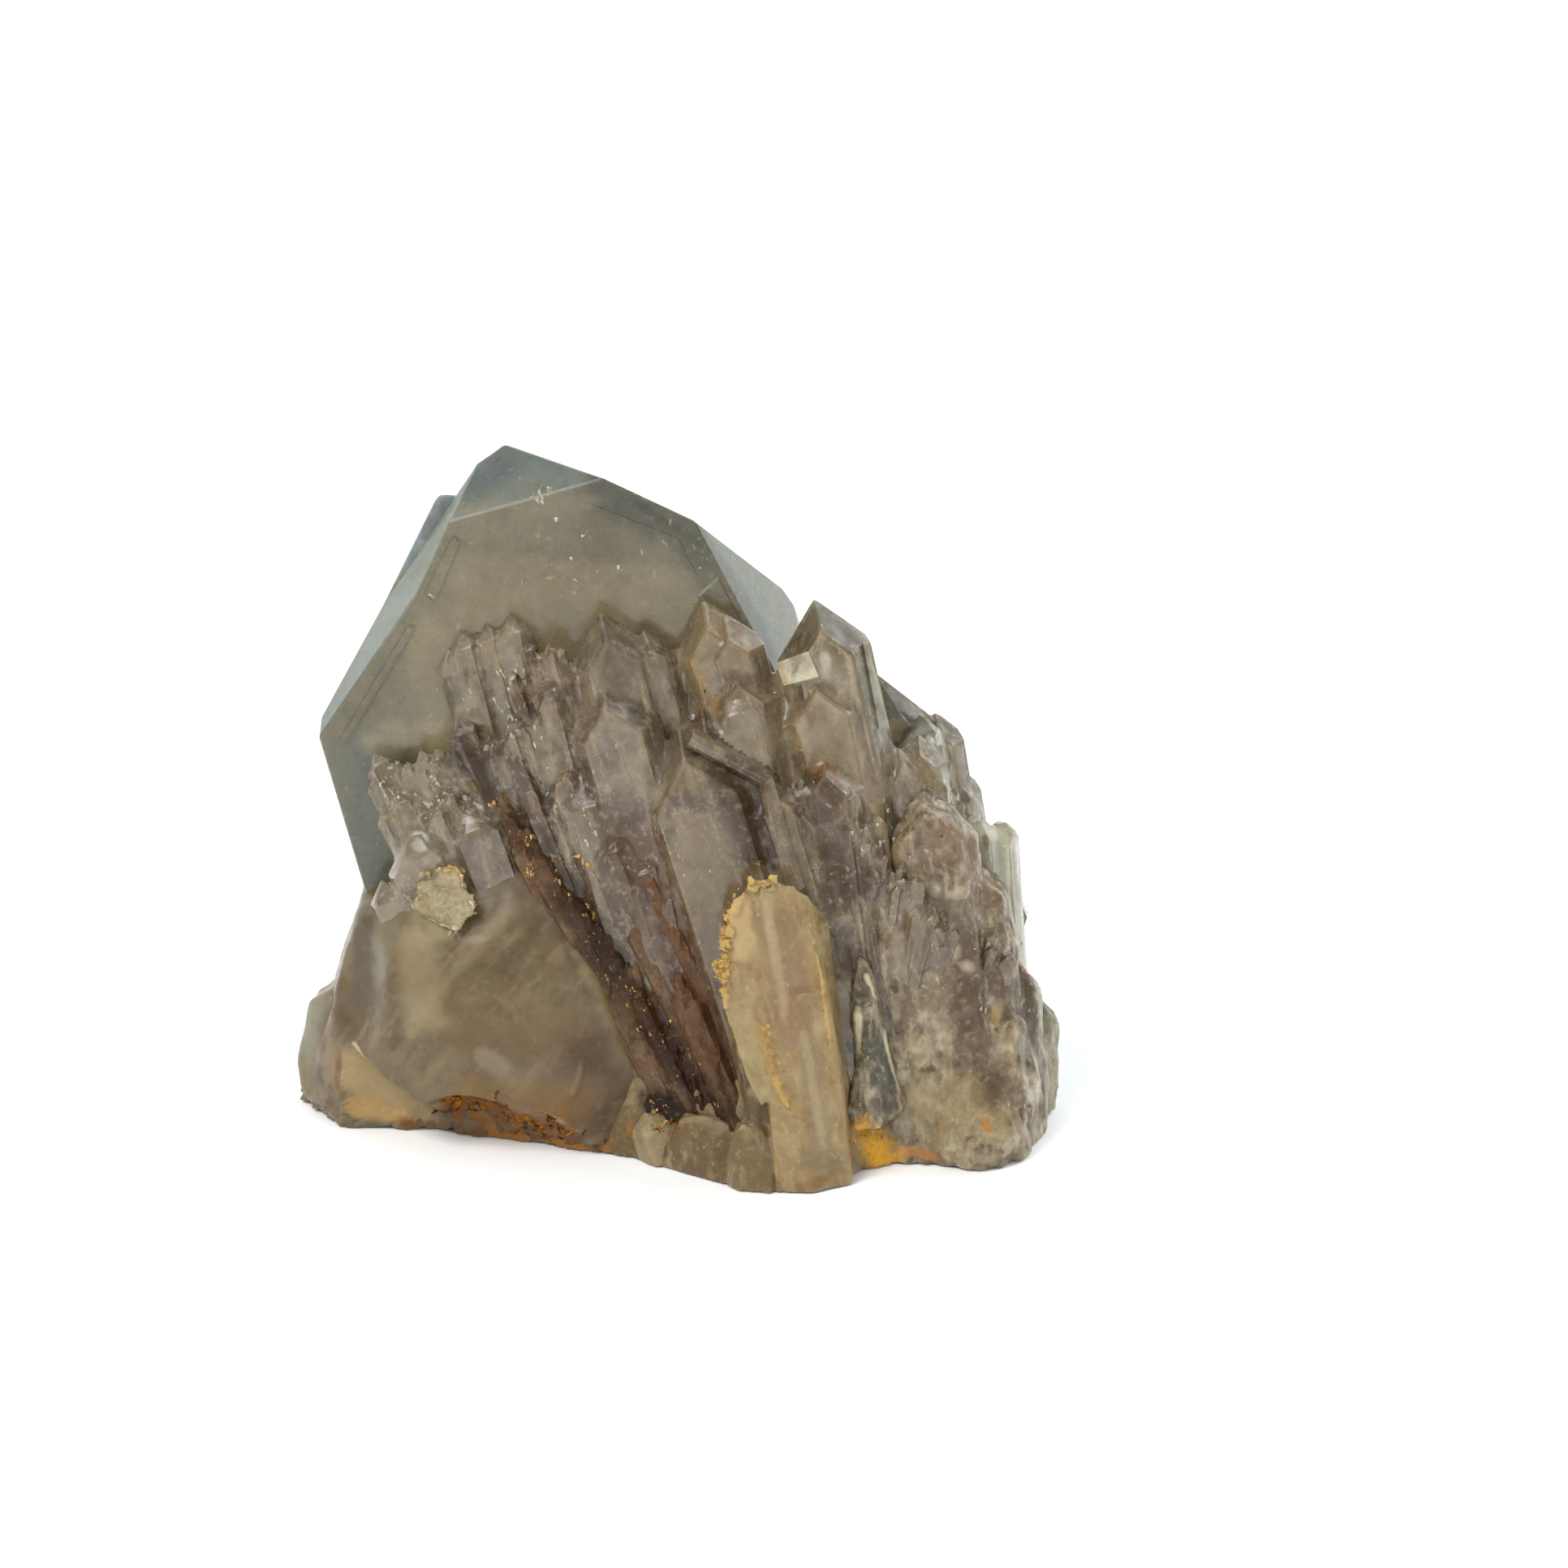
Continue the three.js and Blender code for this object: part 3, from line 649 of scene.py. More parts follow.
# The blunt milky blade in front, and the stubs at its feet
milkyFront = {
    "upper": [
        (7.2, -17.9, 30.6), (9.6, -18, 31), (11.6, -17.6, 30.5), (12.6, -17, 29), (5.6, -17.9, 28.4),
        (4.9, -18.2, 25), (4.7, -18.4, 22.4), (4.8, -18.7, 18.4), (8.6, -19.2, 15), (13.5, -17.7, 24.3),
        (14.6, -17.8, 19.7), (15.4, -18.2, 14), (10, -19.3, 20), (8, -12, 29), (14, -12, 26), (5, -12, 20),
        (15, -12, 12),
    ],
    "lower": [
        (8.5, -19.1, 17), (9.3, -19.6, 13), (9.9, -20.2, 9), (9.8, -20.6, 6.6), (10, -21.2, 0),
        (13.4, -21.4, 0),
        (17.5, -19.2, 0), (16.6, -19.2, 4.4), (16, -18.7, 9.4), (15.6, -18.2, 14.4), (15, -17.8, 19.7),
        (12, -19.3, 20), (10, -12, 18), (16, -12, 14), (17, -12, 0), (9, -12, 0),
    ],
    "sideChip": [
        (4.9, -18.6, 18), (6, -19, 14.3), (7.2, -19.4, 11), (8.4, -19.6, 8.4), (10, -20, 9.4),
        (9.2, -20, 12.4),
        (8.6, -19.6, 16), (7.4, -19, 18.6), (6, -14, 18), (8, -14, 9), (10, -14, 12),
    ],
    "nub": [
        (3.7, -18.2, 22.8), (3.9, -18.4, 21), (5.2, -18.8, 21.6), (5, -18.4, 23.6), (4.4, -17, 22.4),
        (6, -17, 22),
    ],
    "splinter": [
        (13.9, -17.8, 23.6), (14.8, -17.6, 20.6), (15.7, -18, 13), (15.4, -18.6, 12), (14.2, -18.6, 21),
        (13.6, -16, 22), (15.4, -16, 13),
    ],
    "stubs": {
        "side": dict(
            shade="dusk",
            tip=(6.4, -15, 20), foot=(10.6, -17.2, -1), wide=4.6, thick=4.2, turn=-10, blunt=0.8),
        "back": dict(
            shade="bone",
            tip=(10.2, -12.6, 28.6), foot=(15, -14.4, -1), wide=8, thick=7, turn=-6, lift=frontal),
        "left": dict(
            shade="sand", tip=(-2.4, -12.2, 5.8), foot=(-1, -12.6, -1), wide=5, thick=5, turn=12, blunt=1),
        "behind": dict(
            shade="mauve",
            tip=(8, -16.4, 7.6), foot=(8.6, -17, -1), wide=3, thick=3.4, turn=10, lift=frontal),
    },
    "footLeft": [
        (0.4, -15.2, 4.6), (1, -15, 5.7), (2.9, -15.4, 5.5), (5.4, -16.3, 4.8), (5.8, -17, 3.2),
        (-2, -14.4, 0), (0.9, -16.6, 0), (3, -18, 0), (5.4, -19.6, 0), (-1.2, -14.2, 3), (2, -16.6, 1.4),
        (0, -12, 5), (5, -12.5, 5), (-1, -12, 0), (6, -13, 0),
    ],
    "footRight": [
        (5.8, -18.6, 5), (6.6, -18.4, 5.9), (8.6, -18.8, 5.5), (9.8, -19.4, 3.8), (5, -19.2, 2.4),
        (9.9, -20, 1.2), (5, -19.8, 0), (6.4, -21, 0), (9.2, -21.3, 0), (10, -20.6, 0), (6.2, -20, 2.8),
        (8.4, -20.5, 2), (6, -15, 5), (9.6, -15, 5), (5, -15, 0), (10, -15, 0),
    ],
    "rims": {
        "left": dict(
            shade="ochre", count=20, size=0.6, seed=607,
            path=[(9.6, -17.8, 31.2), (7.2, -17.9, 30.4), (5.6, -17.9, 28), (5, -18.2, 25),
                  (4.7, -18.4, 21.6),
                  (4.9, -18.8, 18.2)]),
        "right": dict(
            shade="bone", count=14, size=0.5, seed=613,
            path=[(12.6, -17.2, 29.2), (13.8, -17.6, 23.4), (15.2, -18.1, 15), (15.8, -18.5, 10)]),
        "seam": dict(
            shade="ochre", count=14, size=0.36, seed=617,
            path=[(8.6, -19.3, 16.4), (9.5, -19.9, 12.6), (10.1, -20.3, 10.4), (11.2, -20.8, 8.6)]),
    },
}

# The milky root with its wall at the lower right
milkyRoot = {
    "footprint": [
        (-32, -3), (-19, -5), (4, -15), (12, -19), (17, -15.2), (24, -12.4), (33, -9.6),
        (35.4, 3), (26, 13.4), (6, 18), (-16, 17), (-30, 9.6),
    ],
    "levels": {-2: (1, 1), 3: (0.98, 0.97), 13: (0.8, 0.76)},  # height: shares of the footprint
    "wall": [
        (23.3, -12.8, 0), (28.2, -15.8, 0), (32.1, -15.4, 0), (35.2, -9.6, 0), (36, -4, 0),
        (24, -13.2, 1.2), (28, -16.3, 1.7), (32.4, -15.8, 2.7), (35.8, -9.8, 4.4),
        (24.6, -11.4, 8), (29, -11.6, 12), (33.4, -9.6, 12.6), (35, -6, 12), (28, 0, 14),
    ],
    "body": dict(
        shade="rib", tip=(24.2, -4.6, 36), foot=(28.4, -10.5, 2), wide=9.4, thick=7.5, lift=frontal),
    "column": dict(
        shade="rib", tip=(29.4, -3.8, 28), foot=(32, -9.5, 2), wide=6.4, thick=6, turn=10, lift=frontal),
    "ribs": dict(
        shade="rib",
        count=5, wide=3.6, seed=97, spread=0.7,
        first={"tip": (19.4, -6.6, 35.4), "foot": (22.4, -12, 3)},
        last={"tip": (30.6, -5.6, 25.6), "foot": (33, -10, 3)}),
    "lowRibs": dict(
        shade="rib",
        count=8, wide=3, seed=107, spread=0.9, lift=frontal,
        first={"tip": (20.6, -8.6, 25), "foot": (23.4, -12.8, -2)},
        last={"tip": (31.4, -7.4, 21), "foot": (33.4, -12, -2)}),
    "shard": [
        (17.6, -13.4, 22), (19, -13.4, 21), (17, -16, 4), (19.4, -16.3, 4.4), (22.4, -15, 6),
        (21.8, -14.6, 9),
        (19, -15.4, 14), (17, -12, 10), (22, -11, 7), (18, -10, 18), (20, -13, 3.4),
    ],
    "low": dict(shade="rootCream", tip=(32.8, -2.4, 17.6), foot=(33.6, -7, -2), wide=6.4, thick=7, turn=8),
    "edgeCrystal": dict(
        shade="glass", tip=(35.9, 2.2, 10.8), foot=(35.3, -1, -3), wide=4.2, thick=7, turn=-10),
    "columns": dict(
        shade="rootCream",
        count=5, wide=4.8, seed=103, spread=0.4, blunt=1.4,
        first={"tip": (24.4, -10, 14.6), "foot": (25.2, -12.4, -2)},
        last={"tip": (32.4, -8.8, 15.6), "foot": (33.2, -12, -2)}),
    "rimLeft": dict(
        shade="rootCream",
        count=8, wide=5.4, seed=139, spread=1, blunt=1.2,
        first={"tip": (-29.4, 9, 9.6), "foot": (-27, 8, -2)},
        last={"tip": (-3.6, 17.4, 9), "foot": (-3, 15.8, -2)}),
    "rimRight": dict(
        shade="rootCream",
        count=9, wide=5.4, seed=149, spread=1, blunt=1.1,
        first={"tip": (3.6, 17.4, 9.4), "foot": (3, 15.8, -2)},
        last={"tip": (33.4, 5.4, 9.6), "foot": (31, 4.4, -2)}),
}


# Broken bodies: seen from a centre, each direction ends at the first bound that it meets
never = 1e3
tiny = 1e-6


def facesOf(points):
    bm = bmesh.new()
    for place in points:
        bm.verts.new(place)
    bmesh.ops.convex_hull(bm, input=bm.verts)
    bmesh.ops.recalc_face_normals(bm, faces=bm.faces)
    faces = [(face.normal.copy(), face.normal.dot(face.verts[0].co)) for face in bm.faces]
    bm.free()
    return faces


def planeEnds(centre, rays, face):
    normal = np.array(face[0])
    speed = rays @ normal
    gap = face[1] - centre @ normal
    return np.where(speed > tiny, gap / np.where(speed > tiny, speed, 1), never)


def ballEnds(centre, rays, ball, nearSide=False):
    angle = math.radians(ball["turn"])
    frameOfBall = np.array([
        (math.cos(angle), -math.sin(angle), 0),
        (math.sin(angle), math.cos(angle), 0),
        (0, 0, 1),
    ])
    radii = np.array(ball["radii"])
    start = (centre - np.array(ball["centre"])) @ frameOfBall / radii
    step = rays @ frameOfBall / radii
    a = (step ** 2).sum(axis=1)
    b = step @ start
    inside = b ** 2 - a * (start @ start - 1)
    root = np.sqrt(np.maximum(inside, 0))
    ends = (-b - root) / a if nearSide else (-b + root) / a
    return np.where((inside > 0) & (ends > 0), ends, never)


def notchEnds(centre, rays, faces):
    enter = np.zeros(len(rays))
    leave = np.full(len(rays), never)
    for face in faces:
        normal = np.array(face[0])
        speed = rays @ normal
        crossing = (face[1] - centre @ normal) / np.where(np.abs(speed) > tiny, speed, tiny)
        enter = np.where(speed < 0, np.maximum(enter, crossing), enter)
        leave = np.where(speed > 0, np.minimum(leave, crossing), leave)
    return np.where((enter > 0) & (enter < leave), enter, never)


# Fractal noise: roughness, lacunarity, octaves
fineGrain = (0.7, 2.1, 3)
raggedGrain = (0.6, 2.2, 4)
rimGrain = (0.5, 2.2, 3)
raggedSize = 1.3
rimSize = 0.8
arcBend = {"size": 6, "share": 0.7}  # how the arcs of the break wander, as a share of their spacing


# Height of the break's relief at a place
def reliefAt(place, relief):
    height = relief["swell"] * noise.noise(place / relief["swellSize"])
    height += relief["grain"] * noise.fractal(place / relief["grainSize"], *fineGrain)
    for arc in relief.get("arcs", ()):
        away = (place - Vector(arc["centre"])).length
        fade = max(0, 1 - abs(away - arc["reach"] / 2) / (arc["reach"] / 2))
        bend = noise.noise(place / arcBend["size"]) * arc["spacing"] * arcBend["share"]
        height += arc["height"] * fade * math.sin(2 * math.pi * (away + bend) / arc["spacing"])
    for line in relief.get("lines", ()):
        start = Vector(line["at"])
        leg = Vector(line["to"]) - start
        share = min(1, max(0, (place - start).dot(leg) / leg.length_squared))
        away = (place - start - leg * share).length / line["wide"]
        height += line["height"] * math.exp(-away * away)
    if place.z < relief["raggedBelow"]:
        share = 1 - place.z / relief["raggedBelow"]
        height += relief["ragged"] * share * noise.fractal(place / raggedSize, *raggedGrain)
    return height


def brokenBody(centre, detail, softness, relief, shade, balls=(), faces=(), hollows=(), notches=()):
    bm = bmesh.new()
    bmesh.ops.create_icosphere(bm, subdivisions=detail, radius=1)
    rays = np.array([tuple(vert.co.normalized()) for vert in bm.verts])
    middle = np.array(centre, dtype=float)
    ends = [ballEnds(middle, rays, ball) for ball in balls]
    ends += [planeEnds(middle, rays, face) for face in faces]
    ends += [planeEnds(middle, rays, (Vector((0, 0, -1)), 0))]
    ends += [ballEnds(middle, rays, ball, nearSide=True) for ball in hollows]
    ends += [notchEnds(middle, rays, notch) for notch in notches]
    ends = np.array(ends)
    first = ends.min(axis=0)
    blend = np.exp((first - ends) / softness).sum(axis=0)
    reach = first - softness * np.log(blend)
    for vert, ray, length in zip(bm.verts, rays, reach):
        ray = Vector(ray)
        place = Vector(centre) + ray * float(length)
        place += ray * reliefAt(place, relief)
        place.z = max(place.z, 0)
        vert.co = place
    return blockFrom(bm, shade)


# What is missing in front of the faces between a ridge and a line on the base
def undercut(ridge, cut):
    inFront = Vector((0, -16, 0))
    under = Vector((0, 0, -5))
    points = [Vector(corner) for corner in ridge + cut]
    points += [Vector(corner) + inFront for corner in ridge]
    points += [Vector(corner) + under for corner in cut]
    points += [Vector(corner) + under + inFront for corner in cut]
    return facesOf(points)


# The broken lump at the lower left and its small neighbour
lumpShape = {
    "centre": (-17, 0.5, 11.5),
    "detail": 7,
    "softness": 0.28,
    "ball": {"centre": (-15, 12, 8), "radii": (26, 25.8, 29), "turn": 12},
    "breaks": [  # outward direction, a place on the break
        ((-0.96, 0, 0.28), (-33.3, -5, 16)),
        ((-0.72, -0.68, 0.14), (-30, -7.1, 17)),
        ((-0.43, -0.15, 0.89), (-22.4, -7.4, 26.1)),
        ((0.05, -0.25, 0.97), (-16, -7, 28.6)),
        ((0.8, -0.1, 0.6), (-12, -9, 24.4)),
        ((0.98, -0.2, 0.06), (-2.6, -12, 7.1)),
        ((0.6, -0.7, 0.38), (-7.2, -12, 14)),
        ((0, 1, 0), (0, 6, 0)),
    ],
    "ridgeLeft": [(-32.6, -6.2, 9.4), (-27.2, -9.5, 6), (-21.6, -12.4, 2.8)],
    "cutLeft": [(-32.7, -5.5, 0), (-26.1, -5.7, 0), (-20.4, -6.9, 0)],
    "ridgeRight": [(-17.5, -13, 7.5), (-7.7, -13.6, 1.9)],
    "cutRight": [(-18.7, -7.1, 0), (-7, -11.6, 0)],
    "hollows": [
        {"centre": (-20.6, -14.6, 1.2), "radii": (6.2, 7.4, 5.6), "turn": 14},
        {"centre": (-27.4, -15.6, 27.4), "radii": (7.4, 8, 6), "turn": 20},
        {"centre": (-35.2, -10.2, 19.4), "radii": (7, 7, 13), "turn": 0},
    ],
    "relief": {
        "swell": 0.35, "swellSize": 7, "grain": 0.05, "grainSize": 1.2,
        "ragged": 0.8, "raggedBelow": 4.6,
        "arcs": [
            {"centre": (-30, -14, -4), "reach": 36, "spacing": 3.4, "height": 0.07},
            {"centre": (-4, -10, 24), "reach": 20, "spacing": 2.3, "height": 0.03},
        ],
        "lines": [
            {"at": (-26, -10.8, 12), "to": (-15, -9.4, 25.6), "wide": 0.8, "height": 0.12},
            {"at": (-22, -12, 12), "to": (-12.6, -9.6, 24), "wide": 0.7, "height": -0.1},
            {"at": (-10.6, -10.2, 22), "to": (-7.6, -11.4, 13), "wide": 0.6, "height": -0.22},
            {"at": (-8.8, -10.4, 21), "to": (-4.4, -12.4, 9), "wide": 0.9, "height": 0.2},
            {"at": (-9.2, -13, 10.4), "to": (-10.2, -13.4, 7), "wide": 0.5, "height": 0.25},
            {"at": (-19, -13, 11.6), "to": (-16.8, -13, 9.4), "wide": 0.7, "height": -0.15},
        ],
    },
}

smallLump = {
    "centre": (-32.5, 2.5, 6),
    "detail": 6,
    "softness": 0.22,
    "corners": [
        (-36.8, 0, 11.9), (-36.1, 1, 12.1), (-34.7, -1.5, 12.8), (-33.5, 1, 13.6), (-37.9, 0, 8.1),
        (-38.5, 0, 5.2), (-38.4, -0.5, 3.9), (-37.9, -1, 2.4), (-37.1, 0.7, 0), (-32.7, -5.5, 0),
        (-33, -3, 11.2), (-32.5, -6, 5.5), (-35.1, -3.5, 7.9), (-36, 7, 10), (-36.8, 8, 3),
        (-35.8, 8, 0), (-33, 9.4, 12), (-28, 10, 12), (-28, 10, 0), (-26, -5, 0), (-28, 0, 14),
    ],
    "relief": {
        "swell": 0.5, "swellSize": 3.6, "grain": 0.06, "grainSize": 1,
        "ragged": 0.3, "raggedBelow": 3,
    },
}

# The pale chip on the lump's shoulder
flakeShape = {
    "corners": [
        (-25.4, -7.2, 27), (-23.2, -7.8, 28.6), (-21.4, -8.7, 29), (-20.7, -9, 28.2), (-20.4, -9.4, 26.8),
        (-19.6, -9.9, 26.2), (-19.5, -10.2, 24.9), (-20.5, -10.4, 24.3), (-20.6, -10.5, 23.4),
        (-21.8, -10.2, 22.6), (-24.8, -8.1, 23), (-27.4, -6.2, 25.4),
        (-21, -6, 24), (-24, -5.6, 25), (-22, -6, 27.4),
    ],
    "rims": {
        "top": dict(
            shade="ochre", count=16, size=0.4, seed=631,
            path=[(-24.8, -7.6, 27.8), (-23, -8, 28.7), (-21.5, -8.6, 29.1), (-20.7, -9, 28.3),
                  (-20.4, -9.4, 27)]),
        "side": dict(
            shade="milk", count=18, size=0.42, seed=641,
            path=[(-20.4, -9.4, 26.9), (-19.5, -9.9, 26.1), (-19.5, -10.2, 24.9), (-20.6, -10.5, 24.1),
                  (-20.8, -10.5, 23.3), (-22, -10.3, 22.5)]),
    },
    "break": {
        "grid": 0.15, "softening": 2, "stretch": (1, 1, 1), "raised": -0.3,
        "swell": 0.5, "swellSize": 1.3, "grain": 0.16, "grainSize": 0.6,
    },
}


def brokenLumps():
    shape = lumpShape
    large = brokenBody(
        shape["centre"], shape["detail"], shape["softness"], shape["relief"], "lump",
        balls=[shape["ball"]],
        faces=[faceThrough(normal, place) for normal, place in shape["breaks"]],
        hollows=shape["hollows"],
        notches=[
            undercut(shape["ridgeLeft"], shape["cutLeft"]),
            undercut(shape["ridgeRight"], shape["cutRight"]),
        ],
    )
    small = brokenBody(
        smallLump["centre"], smallLump["detail"], smallLump["softness"], smallLump["relief"], "pinkCream",
        faces=facesOf(smallLump["corners"]),
    )
    return [large, small]


# Turns a solid into evenly spaced small faces, softens its edges and gives it the relief of a break
def weathered(block, recipe):
    source = block.data
    corners = [vert.co.copy() for vert in source.vertices]
    before = BVHTree.FromPolygons(corners, [list(polygon.vertices) for polygon in source.polygons])
    tints = [tuple(item.color) for item in source.attributes["shade"].data]
    even = block.modifiers.new("even", "REMESH")
    even.mode = "VOXEL"
    even.voxel_size = recipe["grid"]
    soften = block.modifiers.new("soften", "SMOOTH")
    soften.factor = 0.5
    soften.iterations = recipe["softening"]
    graph = bpy.context.evaluated_depsgraph_get()
    mesh = bpy.data.meshes.new_from_object(block.evaluated_get(graph))
    block.modifiers.clear()
    painted = mesh.attributes.new("shade", "FLOAT_COLOR", "FACE")
    for polygon in mesh.polygons:
        nearest = before.find_nearest(polygon.center)[2]
        painted.data[polygon.index].color = tints[nearest]
    normals = [vert.normal.copy() for vert in mesh.vertices]
    stretch = Vector(recipe["stretch"])
    for vert, normal in zip(mesh.vertices, normals):
        place = vert.co.copy()
        drawn = place * stretch
        height = recipe.get("raised", 0) + recipe["swell"] * noise.noise(drawn / recipe["swellSize"])
        height += recipe["grain"] * noise.fractal(drawn / recipe["grainSize"], *fineGrain)
        for rim in recipe.get("rims", ()):
            away = (place - Vector(rim["at"])) * Vector(rim["squeeze"])
            share = max(0, 1 - away.length / rim["size"])
            height += rim["height"] * share * noise.fractal(place / rimSize, *rimGrain)
        vert.co = place + normal * height
        vert.co.z = max(vert.co.z, 0)
    block.data = mesh
    return block


# Milky quartz that has grown over the grooves of a block, and has left its edges free
def silted(block, recipe):
    silt = block.copy()
    silt.data = block.data.copy()
    bpy.context.scene.collection.objects.link(silt)
    return combine(block, weathered(silt, recipe))


fanSilt = {
    "grid": 0.46, "softening": 15, "stretch": (1, 1, 0.4), "raised": 0.02,
    "swell": 0.22, "swellSize": 2.4, "grain": 0.05, "grainSize": 0.8,
}

seamSilt = {
    "grid": 0.3, "softening": 8, "stretch": (1, 1, 0.4), "raised": 0,
    "swell": 0.35, "swellSize": 1.6, "grain": 0.16, "grainSize": 0.7,
}

bladeBreak = {
    "grid": 0.17, "softening": 3, "stretch": (1, 1, 0.45),
    "swell": 0.28, "swellSize": 2.6, "grain": 0.07, "grainSize": 0.7,
    "rims": [
        {"at": (4.6, -18, 24), "squeeze": (1, 0.5, 0.24), "size": 1.6, "height": 0.9},
        {"at": (8, -18, 31), "squeeze": (0.42, 0.5, 1), "size": 1.6, "height": 0.8},
    ],
}

flankBreak = {
    "grid": 0.3, "softening": 18, "stretch": (1, 1, 0.5), "raised": 0.15,
    "swell": 0.45, "swellSize": 2.2, "grain": 0.12, "grainSize": 0.9,
}

rootBreak = {
    "grid": 0.42, "softening": 2, "stretch": (1, 1, 0.6),
    "swell": 0.5, "swellSize": 3, "grain": 0.14, "grainSize": 1,
}


def bladeBodies():
    blocks = []
    shadeOf = {
        "upper": "bone", "lower": "bone", "splinter": "ochre", "sideChip": "paleChip", "nub": "ochre",
        "footLeft": "brown", "footRight": "rib",
    }
    for name, shade in shadeOf.items():
        blocks.append(hullOf(milkyFront[name], 0, shade))
    blocks += [quartz(**habit) for habit in milkyFront["stubs"].values()]
    for rim in milkyFront["rims"].values():
        blocks += crust(**rim)
    return blocks


# Crumbs grown along an edge
crumb = {"corners": 9, "size": (0.6, 1.3), "depth": 0.7, "step": 0.9}


def crust(shade, count, size, seed, path):
    roll = makeDice(seed)
    blocks = []
    for i in range(count):
        middle = alongPath(path, (i + roll(0, crumb["step"])) / count)
        reach = size * roll(*crumb["size"])
        corners = []
        for _ in range(crumb["corners"]):
            outward = Vector((roll(-1, 1), roll(-crumb["depth"], crumb["depth"]), roll(-1, 1)))
            corners.append(middle + outward.normalized() * reach)
        blocks.append(hullOf(corners, 0, shade))
    return blocks


def flakeBodies():
    blocks = [hullOf(flakeShape["corners"], 0, "milk")]
    for rim in flakeShape["rims"].values():
        blocks += crust(**rim)
    return blocks


def flankBodies():
    blocks = [hullOf(milkyRoot["wall"], 0, "rootCream"), hullOf(milkyRoot["shard"], 0, "bottle")]
    for name in ("body", "column", "low", "edgeCrystal"):
        blocks.append(quartz(**milkyRoot[name]))
    for name in ("ribs", "lowRibs", "columns"):
        blocks += [quartz(**habit) for habit in sheaf(**milkyRoot[name])]
    return blocks


def rootBodies():
    corners = []
    for x, y in milkyRoot["footprint"]:
        for z, (acrossShare, backShare) in milkyRoot["levels"].items():
            corners.append((x * acrossShare, y * backShare, z))
    blocks = [hullOf(corners, 0, "rootCream")]
    for name in ("rimLeft", "rimRight"):
        blocks += [quartz(**habit) for habit in sheaf(**milkyRoot[name])]
    return blocks


belowCut = {"reach": (-90, 90), "depth": -20}


def aboveCut(block):
    reach = belowCut["reach"]
    below = hullOf([(x, y, z) for x in reach for y in reach for z in (belowCut["depth"], 0)], 0)
    return combine(block, below, "DIFFERENCE")


# Faces that meet at less than this angle are shaded as one
softAngle = math.radians(24)


def finished(block, name, look, smooth=False):
    block.name = name
    block.data.name = name
    block.data.transform(placing)
    block.data.materials.clear()
    block.data.materials.append(look)
    for polygon in block.data.polygons:
        polygon.material_index = 0
        polygon.use_smooth = smooth
    if smooth:
        bm = bmesh.new()
        bm.from_mesh(block.data)
        for edge in bm.edges:
            edge.smooth = edge.calc_face_angle(math.pi) < softAngle
        bm.to_mesh(block.data)
        bm.free()
    block.data.update()
    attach(block, "root")
    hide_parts(specimen)
    print(name, len(block.data.polygons), "faces")
    return block


# Small crystals that fill the grooves
thickets = {
    "leftTips": dict(
        shade="greige", count=40, wide=1.1, length=5, seed=223, spread=1.3,
        path=[(-29.6, -1, 35), (-26, -2.4, 37.4), (-22, -3.4, 37)]),
    "middle": dict(
        shade="mauve", count=40, wide=1.2, length=6, seed=229, spread=2.2,
        path=[(-16, -4.4, 42), (-10.6, -6, 38), (-6, -8.8, 30), (-1, -11, 24)]),
    "rightEdge": dict(
        shade="glass", count=22, wide=1.6, length=6, seed=233, spread=1,
        path=[(22.6, 0, 39), (26.6, 0, 34.6), (29, -1.6, 31)]),
    "rightFace": dict(
        shade="rib", count=44, wide=1.5, length=8, seed=239, spread=2.2,
        path=[(16, -8.6, 34), (20.6, -9.6, 28), (25, -10.4, 24), (31, -8, 21)]),
    "shardSide": dict(
        shade="brown", count=18, wide=1.1, length=6, seed=241, spread=1.2,
        path=[(11.8, -8.2, 38), (15.6, -9.6, 33), (17.4, -12, 22)]),
}


seamThicket = dict(
    shade="brown", count=70, wide=0.9, length=6, seed=211, spread=1,
    path=[(-17.6, -5.2, 35), (-12.4, -7.8, 28.6), (-7, -9.8, 22), (0, -12.6, 12), (4.6, -15, 6)])

# Every crystal of the fan leans away from one place low at the right
fanCentre = Vector((14, -6, -38))


thicketHabit = {
    "depth": (-0.7, 0.5),
    "sway": (-0.09, 0.09),
    "swayBack": (-0.05, 0.09),
    "wide": (0.5, 1.5),
    "length": (0.7, 1.4),
    "thick": (0.6, 1),
    "turn": (-30, 30),
    "frontalAbove": 0.5,
}


def thicket(shade, count, wide, length, seed, spread, path):
    roll = makeDice(seed)
    habit = thicketHabit
    made = []
    for _ in range(count):
        tip = alongPath(path, roll(0, 1))
        tip += Vector((roll(-spread, spread), roll(*habit["depth"]), roll(-spread, spread)))
        lean = (tip - fanCentre).normalized() + Vector((roll(*habit["sway"]), roll(*habit["swayBack"]), 0))
        narrow = wide * roll(*habit["wide"])
        made.append(dict(
            shade=shade,
            foot=tip - lean * length * roll(*habit["length"]),
            tip=tip,
            wide=narrow,
            thick=narrow * roll(*habit["thick"]),
            turn=roll(*habit["turn"]),
            lift=frontal if roll(0, 1) > habit["frontalAbove"] else usualLift,
        ))
    return made


# Loose grains and flecks, each a small closed body pressed into the surface, longer along the crystals.
# They lie in groups: most come close to the one before, the others start again on the path.
grainHabit = {
    "corners": 8,
    "corner": (0.6, 1),
    "near": 0.3,  # share of the path's spread inside a group
    "smallest": 0.35,
    "small": 1.8,  # the higher, the more small ones
    "sink": 0.35,
    "grouped": 0.7,
}


